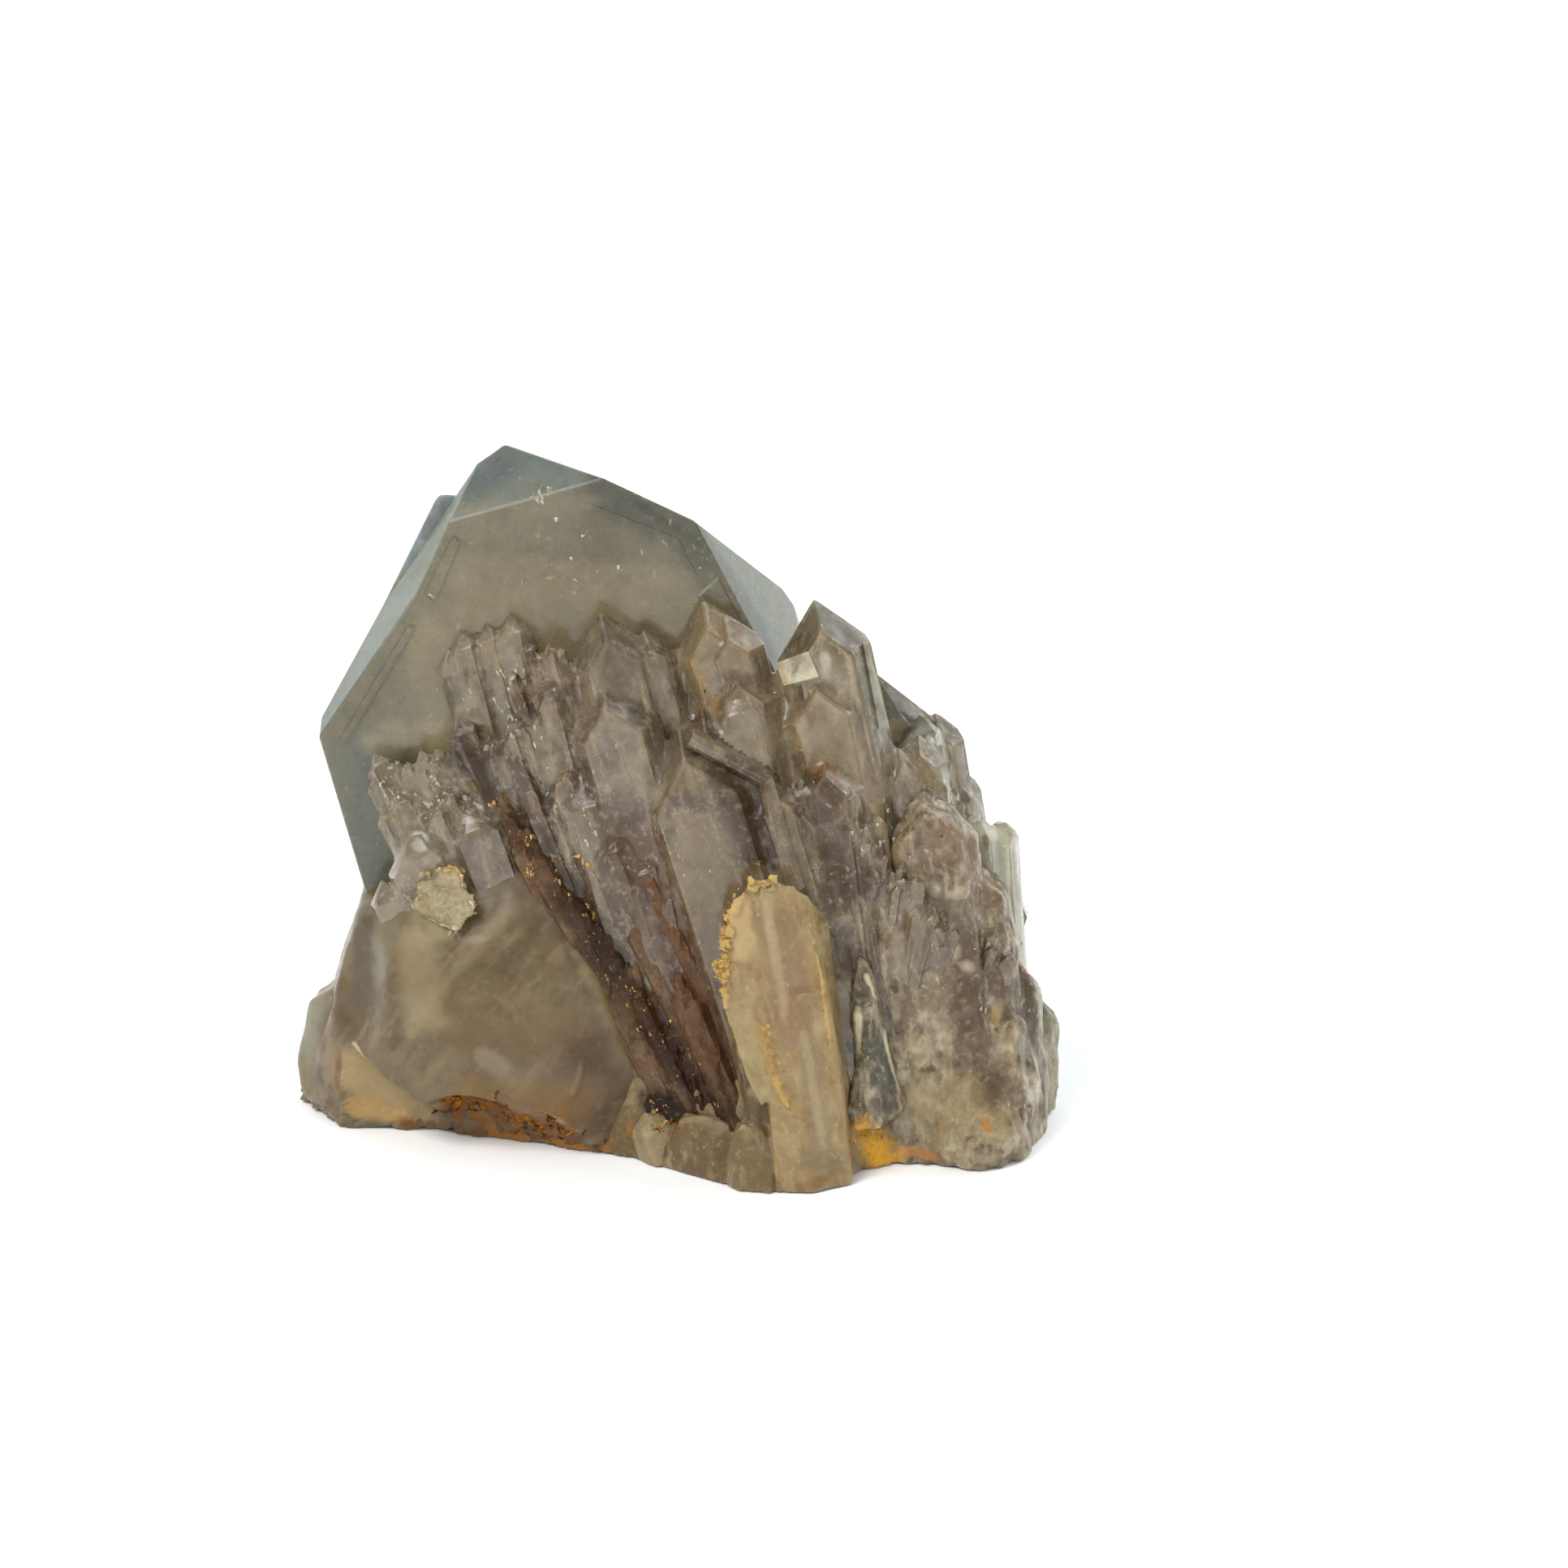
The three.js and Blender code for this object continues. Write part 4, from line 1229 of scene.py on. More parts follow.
def grainBlock(bm, place, size, roll, length):
    along = (place - fanCentre).normalized()
    corners = []
    for _ in range(grainHabit["corners"]):
        outward = Vector((roll(-1, 1), roll(-1, 1), roll(-1, 1))).normalized()
        offset = outward * size * roll(*grainHabit["corner"])
        offset += along * offset.dot(along) * (length - 1)
        corners.append(bm.verts.new(place + offset))
    dropLoose(bm, bmesh.ops.convex_hull(bm, input=corners))


def surfaceOf(blocks):
    corners = []
    faces = []
    for block in blocks:
        start = len(corners)
        corners += [vert.co / mm - originShift for vert in block.data.vertices]
        faces += [[start + i for i in polygon.vertices] for polygon in block.data.polygons]
    return BVHTree.FromPolygons(corners, faces)


sightLine = Vector((0, math.cos(math.radians(lookDown)), -math.sin(math.radians(lookDown))))
sightStart = 30


# Grains along a path on the show side, in small groups: how many, how far from the path, how large
def grains(surface, trails, shade):
    bm = bmesh.new()
    for line in trails.values():
        roll = makeDice(line["seed"])
        spread = line["spread"]
        length = line["length"]
        aim = None
        for _ in range(line["count"]):
            near = spread * grainHabit["near"]
            if aim is None or roll(0, 1) > line["grouped"]:
                aim = alongPath(line["path"], roll(0, 1))
                near = spread
            aim = aim + Vector((roll(-near, near), 0, roll(-near, near)))
            hit = surface.ray_cast(aim - sightLine * sightStart, sightLine)[0]
            if hit is None:
                continue
            size = line["size"] * roll(grainHabit["smallest"], 1) ** grainHabit["small"]
            place = hit + sightLine * size * line["sink"]
            place.z = max(place.z, size * length)
            grainBlock(bm, place, size, roll, length)
    return blockFrom(bm, shade)


def trail(count, seed, spread, size, path, length=1, **rest):
    line = dict(count=count, seed=seed, spread=spread, size=size, path=path, length=length)
    return {**line, "sink": grainHabit["sink"], "grouped": grainHabit["grouped"], **rest}


goldTrails = {
    "seamTop": trail(50, 307, 1.1, 0.32, [(-17.4, -7, 34), (-12, -9.4, 29)], length=1.8),
    "seamMiddle": trail(36, 311, 0.9, 0.32, [(-12, -9.4, 29.4), (-7.4, -10.6, 22)], length=1.8),
    "seamLow": trail(56, 313, 1.5, 0.26, [(-5, -12, 18), (4.4, -14.8, 6)], length=1.8),
    "goldSpot": trail(16, 317, 0.5, 0.4, [(-9.2, -8.7, 29.9), (-9, -8.7, 29.6)]),
    "flakeEdge": trail(30, 331, 0.3, 0.3, [(-23, -8.4, 29), (-20.6, -8.8, 28.6)]),
    "bladeRim": trail(110, 337, 0.4, 0.42,
        [(8, -17.8, 32.6), (5.6, -17.4, 29), (4.6, -17.2, 25.4), (5.2, -17, 22)]),
    "bladeSeam": trail(40, 347, 0.4, 0.3, [(9, -19.8, 17), (11, -20, 10.4)]),
    "base": trail(110, 349, 1.3, 0.5, [(18, -16, 5.6), (20.4, -14.8, 1)], sink=0.5),
    "cavity": trail(40, 353, 1, 0.34, [(-2, -13.4, 5.6), (0, -14, 4)]),
    "tallFoot": trail(22, 359, 0.5, 0.3, [(10, -5, 46), (12, -7, 40)]),
}

rustTrails = {
    "hollow": trail(90, 401, 1.3, 0.5, [(-22.4, -8, 3.2), (-11, -12, 3.4)], sink=0.6),
    "hollowFilm": trail(190, 403, 1.3, 1.2, [(-22.6, -8, 3), (-10.6, -12, 3)], sink=0.86),
    "seam": trail(22, 409, 0.7, 0.3, [(-12, -8.6, 30.6), (-8.4, -9.4, 27)]),
    "redSpots": trail(16, 419, 0.5, 0.34, [(-3.6, -12, 16.6), (-2.2, -12.4, 16)]),
    "cavity": trail(40, 421, 1, 0.4, [(-2, -13.4, 4.6), (0, -14, 3.4)]),
}

speckTrails = {
    "middle": trail(3, 431, 0.15, 0.34, [(0.5, -5, 44), (0.7, -5, 43.8)]),
    "seam": trail(3, 433, 0.15, 0.36, [(-19, -7, 33), (-18.7, -7, 33)]),
    "lump": trail(9, 439, 0.6, 0.2, [(-13.6, -9, 22.4), (-12.8, -9, 21.8)]),
    "right": trail(2, 443, 0.1, 0.24, [(26, -7, 31.6), (26.3, -7, 31.6)]),
    "cap": trail(3, 457, 0.12, 0.24, [(3, -4, 45.6), (2.6, -4, 44.4)]),
    "scatter": trail(26, 449, 9, 0.15, [(-20, -8, 18), (12, -12, 24)], grouped=0),
}

# Pale flecks painted bright as glints
glintFleckTrails = {
    "face": trail(60, 503, 3, 0.28, [(-22, 2, 56), (0, 3, 57)], length=1.6),
    "topGlints": trail(22, 547, 1.6, 0.4, [(-14.6, 3, 64), (-11, 3, 61)], length=2),
    "columns": trail(60, 509, 3.2, 0.3, [(-19, -1, 46), (-15, -5, 40)], length=2.6),
    "leftTips": trail(70, 521, 2.2, 0.28, [(-28, -2, 34), (-22, -4, 34)], length=2),
    "middle": trail(60, 523, 3.4, 0.24, [(-12, -7, 38), (2, -11, 24)], length=2.4),
    "right": trail(90, 541, 4.2, 0.28, [(17, -8, 36), (31, -9, 16)], length=2.2),
}


# Node helpers

def add(tree, kind, sockets=None, **settings):
    fresh = tree.nodes.new("ShaderNode" + kind)
    for key, value in settings.items():
        setattr(fresh, key, value)
    for key, value in (sockets or {}).items():
        if isinstance(value, bpy.types.NodeSocket):
            tree.links.new(value, fresh.inputs[key])
        else:
            fresh.inputs[key].default_value = value
    return fresh


def vector(tree, operation, a, b=(0, 0, 0), output="Vector"):
    return add(tree, "VectorMath", {0: a, 1: b}, operation=operation).outputs[output]


def number(tree, operation, a, b=0.0, clamp=False):
    return add(tree, "Math", {0: a, 1: b}, operation=operation, use_clamp=clamp).outputs[0]


def ranged(tree, value, low, high, start=0.0, end=1.0):
    return add(tree, "MapRange", {
        "Value": value, "From Min": low, "From Max": high, "To Min": start, "To Max": end,
    }, interpolation_type="SMOOTHSTEP").outputs["Result"]


def mixed(tree, share, a, b, mode="MIX"):
    return add(tree, "Mix", {0: share, 6: a, 7: b}, data_type="RGBA", blend_type=mode).outputs[2]


def tinted(tree, colour, source, start, full, share, shade):
    return mixed(tree, ranged(tree, source, start, full, 0, share), colour, linear(shade))


def cloudy(
        tree, place, size, detail=2.0, roughness=0.5,
        stretch=(1, 1, 1), turn=(0, 0, 0), offset=(0, 0, 0)):
    laid = add(tree, "Mapping", {
        "Vector": place, "Rotation": turn,
        "Location": [-o * size * s for o, s in zip(offset, stretch)],
        "Scale": [size * s for s in stretch],
    }, vector_type="TEXTURE").outputs[0]
    return add(tree, "TexNoise", {
        "Vector": laid, "Scale": 1.0, "Detail": detail, "Roughness": roughness,
    }).outputs["Fac"]


# A soft spot round the line between two places, as a group so that every look can use it
def makeSpotGroup():
    group = bpy.data.node_groups.new("softSpot", "ShaderNodeTree")
    sockets = group.interface
    for name in ("Place", "From", "To"):
        sockets.new_socket(name, in_out="INPUT", socket_type="NodeSocketVector")
    for name in ("Size", "Soft"):
        sockets.new_socket(name, in_out="INPUT", socket_type="NodeSocketFloat")
    sockets.new_socket("Share", in_out="OUTPUT", socket_type="NodeSocketFloat")
    given = group.nodes.new("NodeGroupInput").outputs
    along = vector(group, "SUBTRACT", given["To"], given["From"])
    away = vector(group, "SUBTRACT", given["Place"], given["From"])
    reach = number(group, "ADD", vector(group, "DOT_PRODUCT", along, along, "Value"), 0.001)
    step = number(group, "DIVIDE", vector(group, "DOT_PRODUCT", away, along, "Value"), reach, clamp=True)
    onLine = add(group, "VectorMath", {0: along, "Scale": step}, operation="SCALE").outputs[0]
    distance = vector(group, "DISTANCE", away, onLine, "Value")
    edge = number(group, "SUBTRACT", 1.0, given["Soft"])
    share = add(group, "MapRange", {
        "Value": number(group, "DIVIDE", distance, given["Size"]),
        "From Min": edge, "From Max": 1.0, "To Min": 1.0, "To Max": 0.0,
    }, interpolation_type="SMOOTHSTEP").outputs["Result"]
    taken = group.nodes.new("NodeGroupOutput")
    group.links.new(share, taken.inputs["Share"])
    return group


spotGroup = makeSpotGroup()
largestSteady = 1.5  # larger marks have wavy outlines


def marked(tree, colour, places, marks):
    for mark in marks.values():
        node = tree.nodes.new("ShaderNodeGroup")
        node.node_tree = spotGroup
        tree.links.new(places[mark["size"] > largestSteady], node.inputs["Place"])
        node.inputs["From"].default_value = mark["at"]
        node.inputs["To"].default_value = mark["to"]
        node.inputs["Size"].default_value = mark["size"]
        node.inputs["Soft"].default_value = mark["soft"]
        share = number(tree, "MULTIPLY", node.outputs["Share"], mark["share"])
        colour = mixed(tree, share, colour, linear(mark["colour"]))
    return colour


def spot(start, end, size, colour, share=0.8, soft=0.7):
    return {"at": start, "to": end or start, "size": size, "colour": colour, "share": share, "soft": soft}


# Stains, veils, colour zones and a few painted highlights, reflections and shadows on the show side, placed
# in millimetres
broadMarks = {
    "topBand": spot((-6.4, 3, 63.6), (1.6, 3, 59.4), 3.4, (86, 88, 78), 0.85),
    "rightShade": spot((3, 3, 56.6), (8.4, 3, 48), 4, (88, 88, 76), 0.75),
    # Painted reflection: a darker blue at the left of the top face
    "topBlueReflection": spot((-20, 5, 63.4), (-16, 7, 66), 2.4, (100, 112, 122), 0.6),
    "middleVeil": spot((-20, 2.4, 52), (-8, 2.6, 53.4), 3.4, (132, 121, 98), 0.7),
    "leftPale": spot((-31, 1, 36), (-29, 0, 26), 5.4, (118, 122, 112), 0.85),
    "topPale": spot((-15, 3, 61.6), (-8, 3, 62.6), 1.6, (150, 146, 124), 0.5),
    "greyBlob": spot((-2.2, -3, 58.4), (-1.4, -3, 57.4), 2, (110, 104, 84), 0.5),
    "topDark": spot((-8, 5, 65), (-1, 4, 62), 1, (76, 80, 74), 0.7),
    "topSmear": spot((-3.6, 3, 62.4), (2.4, 3, 58.6), 0.7, (74, 76, 66), 0.7),
    "veilWarm": spot((-18, 2.6, 57), (-6, 2.6, 56), 3, (120, 110, 86), 0.5),
    # Painted light that lifts the shadow the fan's left tips cast on the broad crystal
    "tipHaloLight": spot((-30, 0, 38.8), (-24, 0.6, 39.4), 2.4, (182, 174, 150), 0.7),
}

fanMarks = {
    "greySmoke": spot((-6.8, -3, 51), (-5, -4, 47), 3.4, (118, 109, 97), 0.6),
    "honeyTop": spot((2.4, -2, 53), (6.6, -3, 50), 2.4, (146, 124, 86), 0.65),
    "honeyEdge": spot((0.4, -3, 50), (4, -5, 44), 1.2, (164, 136, 86), 0.75),
    "foldYellow": spot((9.4, -4.4, 50), (11, -6, 46), 1.6, (164, 134, 78), 0.75),
    "capBand": spot((4.4, -5, 47.4), (7.4, -5, 47), 1.2, (112, 92, 70), 0.75),
    "centralSmoke": spot((0.6, -8, 41), (2.4, -9, 36), 2.6, (112, 104, 92), 0.7),
    "darkPatch": spot((5.2, -10.4, 39), (8, -11.6, 32), 3.2, (78, 60, 50), 0.85),
    "centralPale": spot((2.6, -11, 32), (4.4, -12.4, 27), 2.8, (150, 138, 110)),
    "purpleStroke": spot((-21, -5, 39.6), (-18.4, -6, 36), 2.4, (74, 62, 56)),
    "brownBack": spot((20.6, 2, 42), (24.6, 2, 37), 2, (104, 100, 88)),
    "sandPatch": spot((13, -6.4, 43), (20, -8, 37), 4, (148, 132, 108), 0.6),
    "sandIron": spot((12.8, -8, 40), (15.6, -8.4, 37.6), 1.3, (166, 116, 54), 0.75),
    "ironShadow": spot((13.4, -8, 37.6), (17, -11, 28), 2.6, (84, 68, 54), 0.85),
    "ironShadowLow": spot((14.6, -11, 27), (17, -13, 20), 2, (100, 84, 70)),
    "redEdge": spot((34.7, -4, 17), (34.2, -4, 14.6), 0.9, (128, 52, 34), 0.9),
    "tallBrown": spot((13.4, -3, 52.6), (17.4, -3, 50), 2.4, (100, 93, 75)),
    # Painted glint beside the window facet
    "tallGlint": spot((14.6, -5, 49.4), (14.8, -6, 47), 0.8, (186, 190, 180)),
    "tallLow": spot((11.4, -6.8, 44), (12.6, -8, 40), 1.6, (188, 176, 150), 0.7),
    "honeyGlow": spot((23.6, -3, 40), (25, -4, 36), 1.6, (156, 136, 100), 0.6),
    "middlePink": spot((-3, -10, 30), (-1.4, -11, 25), 1.8, (128, 108, 94), 0.5),
    "creamTip": spot((29.8, -3, 31), (32.4, -2, 29), 1.9, (190, 194, 182), 0.85),
    "creamBrown": spot((30.4, -3, 30), (30.6, -4, 28.8), 0.5, (140, 112, 76)),
    "tallTopEdge": spot((13, -2, 54), (16.6, -2, 51.4), 0.9, (92, 88, 70), 0.6),
    "darkBackTop": spot((20.4, 2, 43.4), (23.6, 2, 41), 2.2, (104, 100, 92)),
    "seamShade": spot((-15, -7.4, 33), (-5, -10.6, 19), 2.6, (70, 54, 42), 0.7),
    "ribbonDark": spot((1.6, -8.8, 41.2), (8, -9.6, 37.4), 0.7, (84, 70, 58), 0.6),
    "ribbonSide": spot((10.6, -10.1, 36.6), (12.4, -11.9, 30), 0.5, (150, 134, 110), 0.5),
    "ribbonSideDark": spot((8.1, -9.9, 36.6), (9.7, -11.5, 30), 0.6, (76, 62, 52), 0.6),
}

grooveMarks = {
    "ironLeft": spot((-16.6, -4, 38), (-13.4, -7, 34), 0.7, (146, 98, 50), 0.6),
    "seamTop": spot((-17, -7.2, 33.8), (-11, -9.6, 28.4), 1.6, (86, 68, 50), 0.75),
    "seamGold": spot((-13, -8.6, 31.6), (-8.6, -9.6, 27.6), 1.2, (104, 74, 34), 0.7),
    "seamMiddle": spot((-10.4, -9.8, 27.6), (-6, -11, 20), 2, (62, 50, 40), 0.95),
    "seamLow": spot((-4.4, -12, 17), (4, -15, 5.8), 2.7, (62, 42, 34), 0.96),
    "darkMiddle": spot((-6, -8, 33.4), (0.6, -11, 22), 4, (90, 68, 50), 0.7),
    "cavity": spot((-2.4, -13.4, 6), (1, -14, 4.4), 2.2, (36, 18, 4), 0.98, soft=0.5),
    "seamSide": spot((-10, -9, 24), (-4, -12, 14), 1.8, (92, 72, 48)),
    "middleWarm": spot((-3, -9, 31), (5, -13, 13), 5, (112, 84, 62), 0.6),
    "middleLow": spot((1, -12, 19), (4.6, -14, 10), 2.6, (92, 68, 52)),
}

seamMarks = {
    "seamPurple": spot((-3, -12, 14), (3, -14, 7), 1.5, (52, 32, 28), 0.9),
    "seamCore": spot((-8.6, -9.4, 25.4), (-6.4, -10.4, 19.6), 1.8, (50, 38, 28), 0.9),
    # Painted highlight on the seam's bluish glass
    "seamHighlight": spot((-9.6, -9.8, 24.2), (-9, -10, 23), 0.8, (132, 130, 120), 0.45),
    "seamHaze": spot((-6.6, -10.4, 20.4), (-5.6, -10.8, 18.6), 1, (104, 98, 88), 0.3),
    "seamGoldLine": spot((-15.6, -7.6, 33.6), (-10.2, -9.4, 28.6), 0.45, (172, 122, 50)),
    "seamGoldRight": spot((-11.4, -7, 33.6), (-6.6, -9.6, 27.4), 0.5, (150, 104, 44), 0.75),
    "seamMiddleDark": spot((-10.6, -8.6, 26), (-5.4, -10.4, 18), 2.6, (56, 42, 32), 0.85),
    "seamTopDark": spot((-15.6, -6.6, 32.4), (-11, -8.4, 27.4), 1.8, (74, 56, 40), 0.75),
}

lumpMarks = {
    "leftGrey": spot((-31, -5, 21), (-31.4, -6, 14), 2.2, (106, 100, 92), 0.85, soft=0.6),
    "leftGlass": spot((-28.6, -6, 23.6), (-29.4, -7, 18), 2.4, (146, 144, 128), 0.7),
    "topCream": spot((-26, -7.6, 25.6), (-22.4, -8.6, 23.4), 2.8, (182, 172, 146)),
    "topGrey": spot((-18, -8, 27), (-12, -9, 24.6), 3, (112, 100, 86), 0.75),
    "rightStrip": spot((-8, -10.4, 19), (-3, -12.6, 6), 1.1, (150, 138, 104), 0.85),
    "centreTan": spot((-20, -12, 14), (-11, -12.4, 13), 4.4, (136, 114, 86), 0.6),
    "lowShade": spot((-8.4, -12.6, 11), (-5.6, -12.8, 3.4), 4.4, (98, 74, 44), 0.7),
    # Painted glint on the lump
    "paleGlint": spot((-18.6, -13, 11), (-16.8, -13, 9.4), 1.6, (176, 164, 154), 0.55),
    "paleArc": spot((-9.2, -13, 9.8), (-10, -13.4, 7.4), 0.5, (176, 162, 138), 0.6),
    "ridgeLeft": spot((-32, -6.6, 9.4), (-27.2, -9.5, 6.1), 0.55, (232, 220, 188), 0.9),
    "ridgeRight": spot((-17.5, -13, 7.3), (-8, -13.6, 2), 0.65, (198, 176, 134), 0.95),
    "lowLeft": spot((-32, -6, 6.4), (-26, -8, 2.6), 3.8, (206, 188, 148)),
    "lowYellow": spot((-32, -6, 2.4), (-27, -6.6, 0.8), 1.8, (214, 184, 124)),
    "hollowTan": spot((-24, -8, 5.4), (-12, -12, 5.4), 2.6, (170, 122, 46)),
    "hollowRust": spot((-22.6, -8, 2.8), (-10.6, -12, 2.6), 2.2, (148, 92, 8), 0.95),
    "hollowDark": spot((-21.6, -9, 4.2), (-18.6, -10, 5.2), 0.8, (44, 20, 2), 0.95),
    "hollowDarkLow": spot((-15.8, -10.6, 2.2), (-12.6, -11.6, 2.6), 0.8, (60, 28, 2), 0.95),
    "baseBrown": spot((-27, -6, 0.3), (-10, -11, 0.2), 1.3, (132, 84, 18), 0.85),
    "yellowSpot": spot((-3.4, -13.6, 3.6), (-2.8, -14, 1.6), 1.3, (210, 140, 2), 0.95),
    "smallBlue": spot((-36, -1, 12), (-37.4, -1, 7), 2.2, (160, 166, 156)),
    "smallPink": spot((-34, -3, 11), (-34.6, -4, 5), 1.2, (172, 154, 140), 0.7),
    "smallBrown": spot((-33.2, -5, 8), (-33.6, -5.4, 4.6), 0.9, (134, 96, 56), 0.85),
    "leftStep": spot((-27.2, -7, 24.4), (-27.4, -9, 21), 0.5, (176, 172, 152), 0.85),
    "leftStepLow": spot((-27.6, -9, 21), (-31.4, -8, 13), 0.5, (158, 148, 128)),
    "streakPale": spot((-26, -10.8, 13), (-16, -9.4, 25), 1.4, (164, 152, 130), 0.6),
    "streakDark": spot((-22, -11.6, 12), (-13, -9.6, 24), 0.9, (104, 90, 70), 0.55),
    "streakThird": spot((-17, -12.4, 13), (-10.4, -10.6, 22), 1, (158, 144, 122), 0.55),
    "ridgeLeftLow": spot((-27.2, -9.5, 6.1), (-21.8, -12.2, 2.9), 0.55, (228, 210, 170), 0.9),
    "hollowAmber": spot((-16.4, -9.4, 4.4), (-15.4, -10, 3.4), 1, (196, 112, 14), 0.9),
    "edgeLine": spot((-9.4, -9.8, 24), (-5.2, -11.6, 15), 0.5, (158, 146, 116), 0.7),
    "topGlow": spot((-19, -9, 26.6), (-12, -9.6, 25), 1.8, (132, 122, 100), 0.7),
    "hollowShade": spot((-23.4, -7, 4.6), (-9, -12, 4), 1.2, (158, 102, 20)),
    "darkStreak": spot((-11.2, -10, 20.4), (-9, -11.2, 15), 0.9, (98, 86, 74), 0.6),
    "lowPale": spot((-29, -8, 10), (-24, -11, 7), 2.4, (154, 142, 118), 0.6),
    "centrePink": spot((-14, -12.4, 10), (-8, -12.6, 7), 2.4, (142, 122, 102), 0.5),
    "hollowDarkMiddle": spot((-18.2, -10, 4.6), (-16.8, -10.6, 4), 0.6, (50, 22, 2), 0.95),
    "hollowDarkLeft": spot((-23.8, -7.4, 2.4), (-21, -8.4, 3.2), 0.6, (74, 36, 4), 0.9),
    "hollowDarkRight": spot((-13.6, -11.4, 4.4), (-11.4, -12, 3.8), 0.5, (74, 36, 4), 0.9),
    "creamLeft": spot((-25.6, -9.6, 20.6), (-24.8, -10.6, 15), 3.6, (190, 180, 154), 0.5),
    "lowAmber": spot((-20, -12.4, 7.6), (-10, -13.2, 6), 2.8, (152, 116, 54), 0.5),
}

flakeMarks = {
    "rustTop": spot((-22.4, -8.4, 28.9), (-20.8, -9.2, 28.2), 0.8, (196, 160, 92), 0.7),
    "rustSide": spot((-20.4, -9.8, 26.8), (-20.8, -10.4, 24.8), 0.4, (196, 168, 112), 0.5),
    "greyFoot": spot((-26, -7.4, 26), (-23, -9.6, 22.8), 1.5, (156, 144, 116)),
}

bladeMarks = {
    "pinkHeart": spot((9.6, -19, 27), (11.6, -19.4, 16), 2.6, (150, 126, 104)),
    "pinkLow": spot((13.4, -20, 14), (14.4, -20.6, 4), 1.8, (158, 142, 124), 0.6),
    "yellowTop": spot((5.6, -17.6, 31), (9.4, -18, 31.8), 1.3, (206, 176, 112), 0.9),
    "yellowRim": spot((5.2, -18, 30), (4.2, -18.4, 19.4), 1.3, (204, 172, 108), 0.9),
    "yellowSeam": spot((8.5, -19.3, 16.6), (9.7, -20.2, 11.4), 0.9, (184, 152, 96), 0.5),
    "yellowRight": spot((13, -17.8, 26), (15.6, -18.2, 11), 0.9, (186, 164, 122), 0.35),
    "greyFoot": spot((1, -15, 4), (5, -18, 2), 3, (116, 98, 72), 0.7),
    "stubEdge": spot((5.2, -18, 4.6), (6.6, -18.6, 6), 0.5, (186, 172, 134), 0.7),
    "speck": spot((12.6, -18.6, 21.6), None, 0.3, (50, 34, 26), 0.9),
    "streakPink": spot((11.4, -18.6, 28), (13.4, -18.4, 15), 0.7, (150, 122, 100), 0.7),
    "streakPale": spot((9, -18.6, 29), (10.8, -19, 17), 0.8, (186, 172, 146), 0.7),
    "streakLow": spot((12.6, -19.6, 16), (14.8, -20.4, 3), 0.7, (182, 170, 140), 0.7),
    "sideShade": spot((6.4, -17, 8.6), (8.4, -18.6, 6.6), 1.5, (112, 94, 72), 0.85),
    "yellowSeamLow": spot((9.7, -20.2, 11.4), (11.2, -20.8, 8.4), 0.8, (188, 158, 104), 0.5),
    "footBrown": spot((12.4, -21, 0.4), (15, -21, 1.4), 1, (140, 108, 66), 0.7),
    "footGrey": spot((13, -21, 3.4), (16, -20, 2.4), 1.8, (136, 122, 100), 0.6),
    "cavity": spot((-2.4, -13.4, 6.4), (1, -14, 5), 1.6, (52, 30, 10), 0.95),
    "greyFootRight": spot((6, -19, 4), (8.6, -20.4, 1), 2.2, (122, 106, 78)),
    "stubRimLeft": spot((0.4, -15.2, 5), (3.2, -15.6, 5.6), 0.5, (168, 154, 124), 0.6),
    "topPale": spot((6.2, -17.8, 29), (6.6, -18.6, 24), 1.6, (214, 190, 146), 0.6),
}

# Small milky puffs in the flank: place, size
milkyPuffs = [
    ((21.7, -11, 14.7), 0.9), ((24.1, -11, 14), 1.1), ((27.2, -11, 21), 1.2), ((28.6, -11, 19.5), 1),
    ((23, -11, 19.1), 1.4), ((26.6, -11, 11), 1.4), ((19.4, -11, 21.6), 1.2),
]
puffMarks = {}
for i, (at, size) in enumerate(milkyPuffs):
    puffMarks["puff%d" % i] = spot(at, None, size, (204, 198, 180), 0.7, soft=0.9)

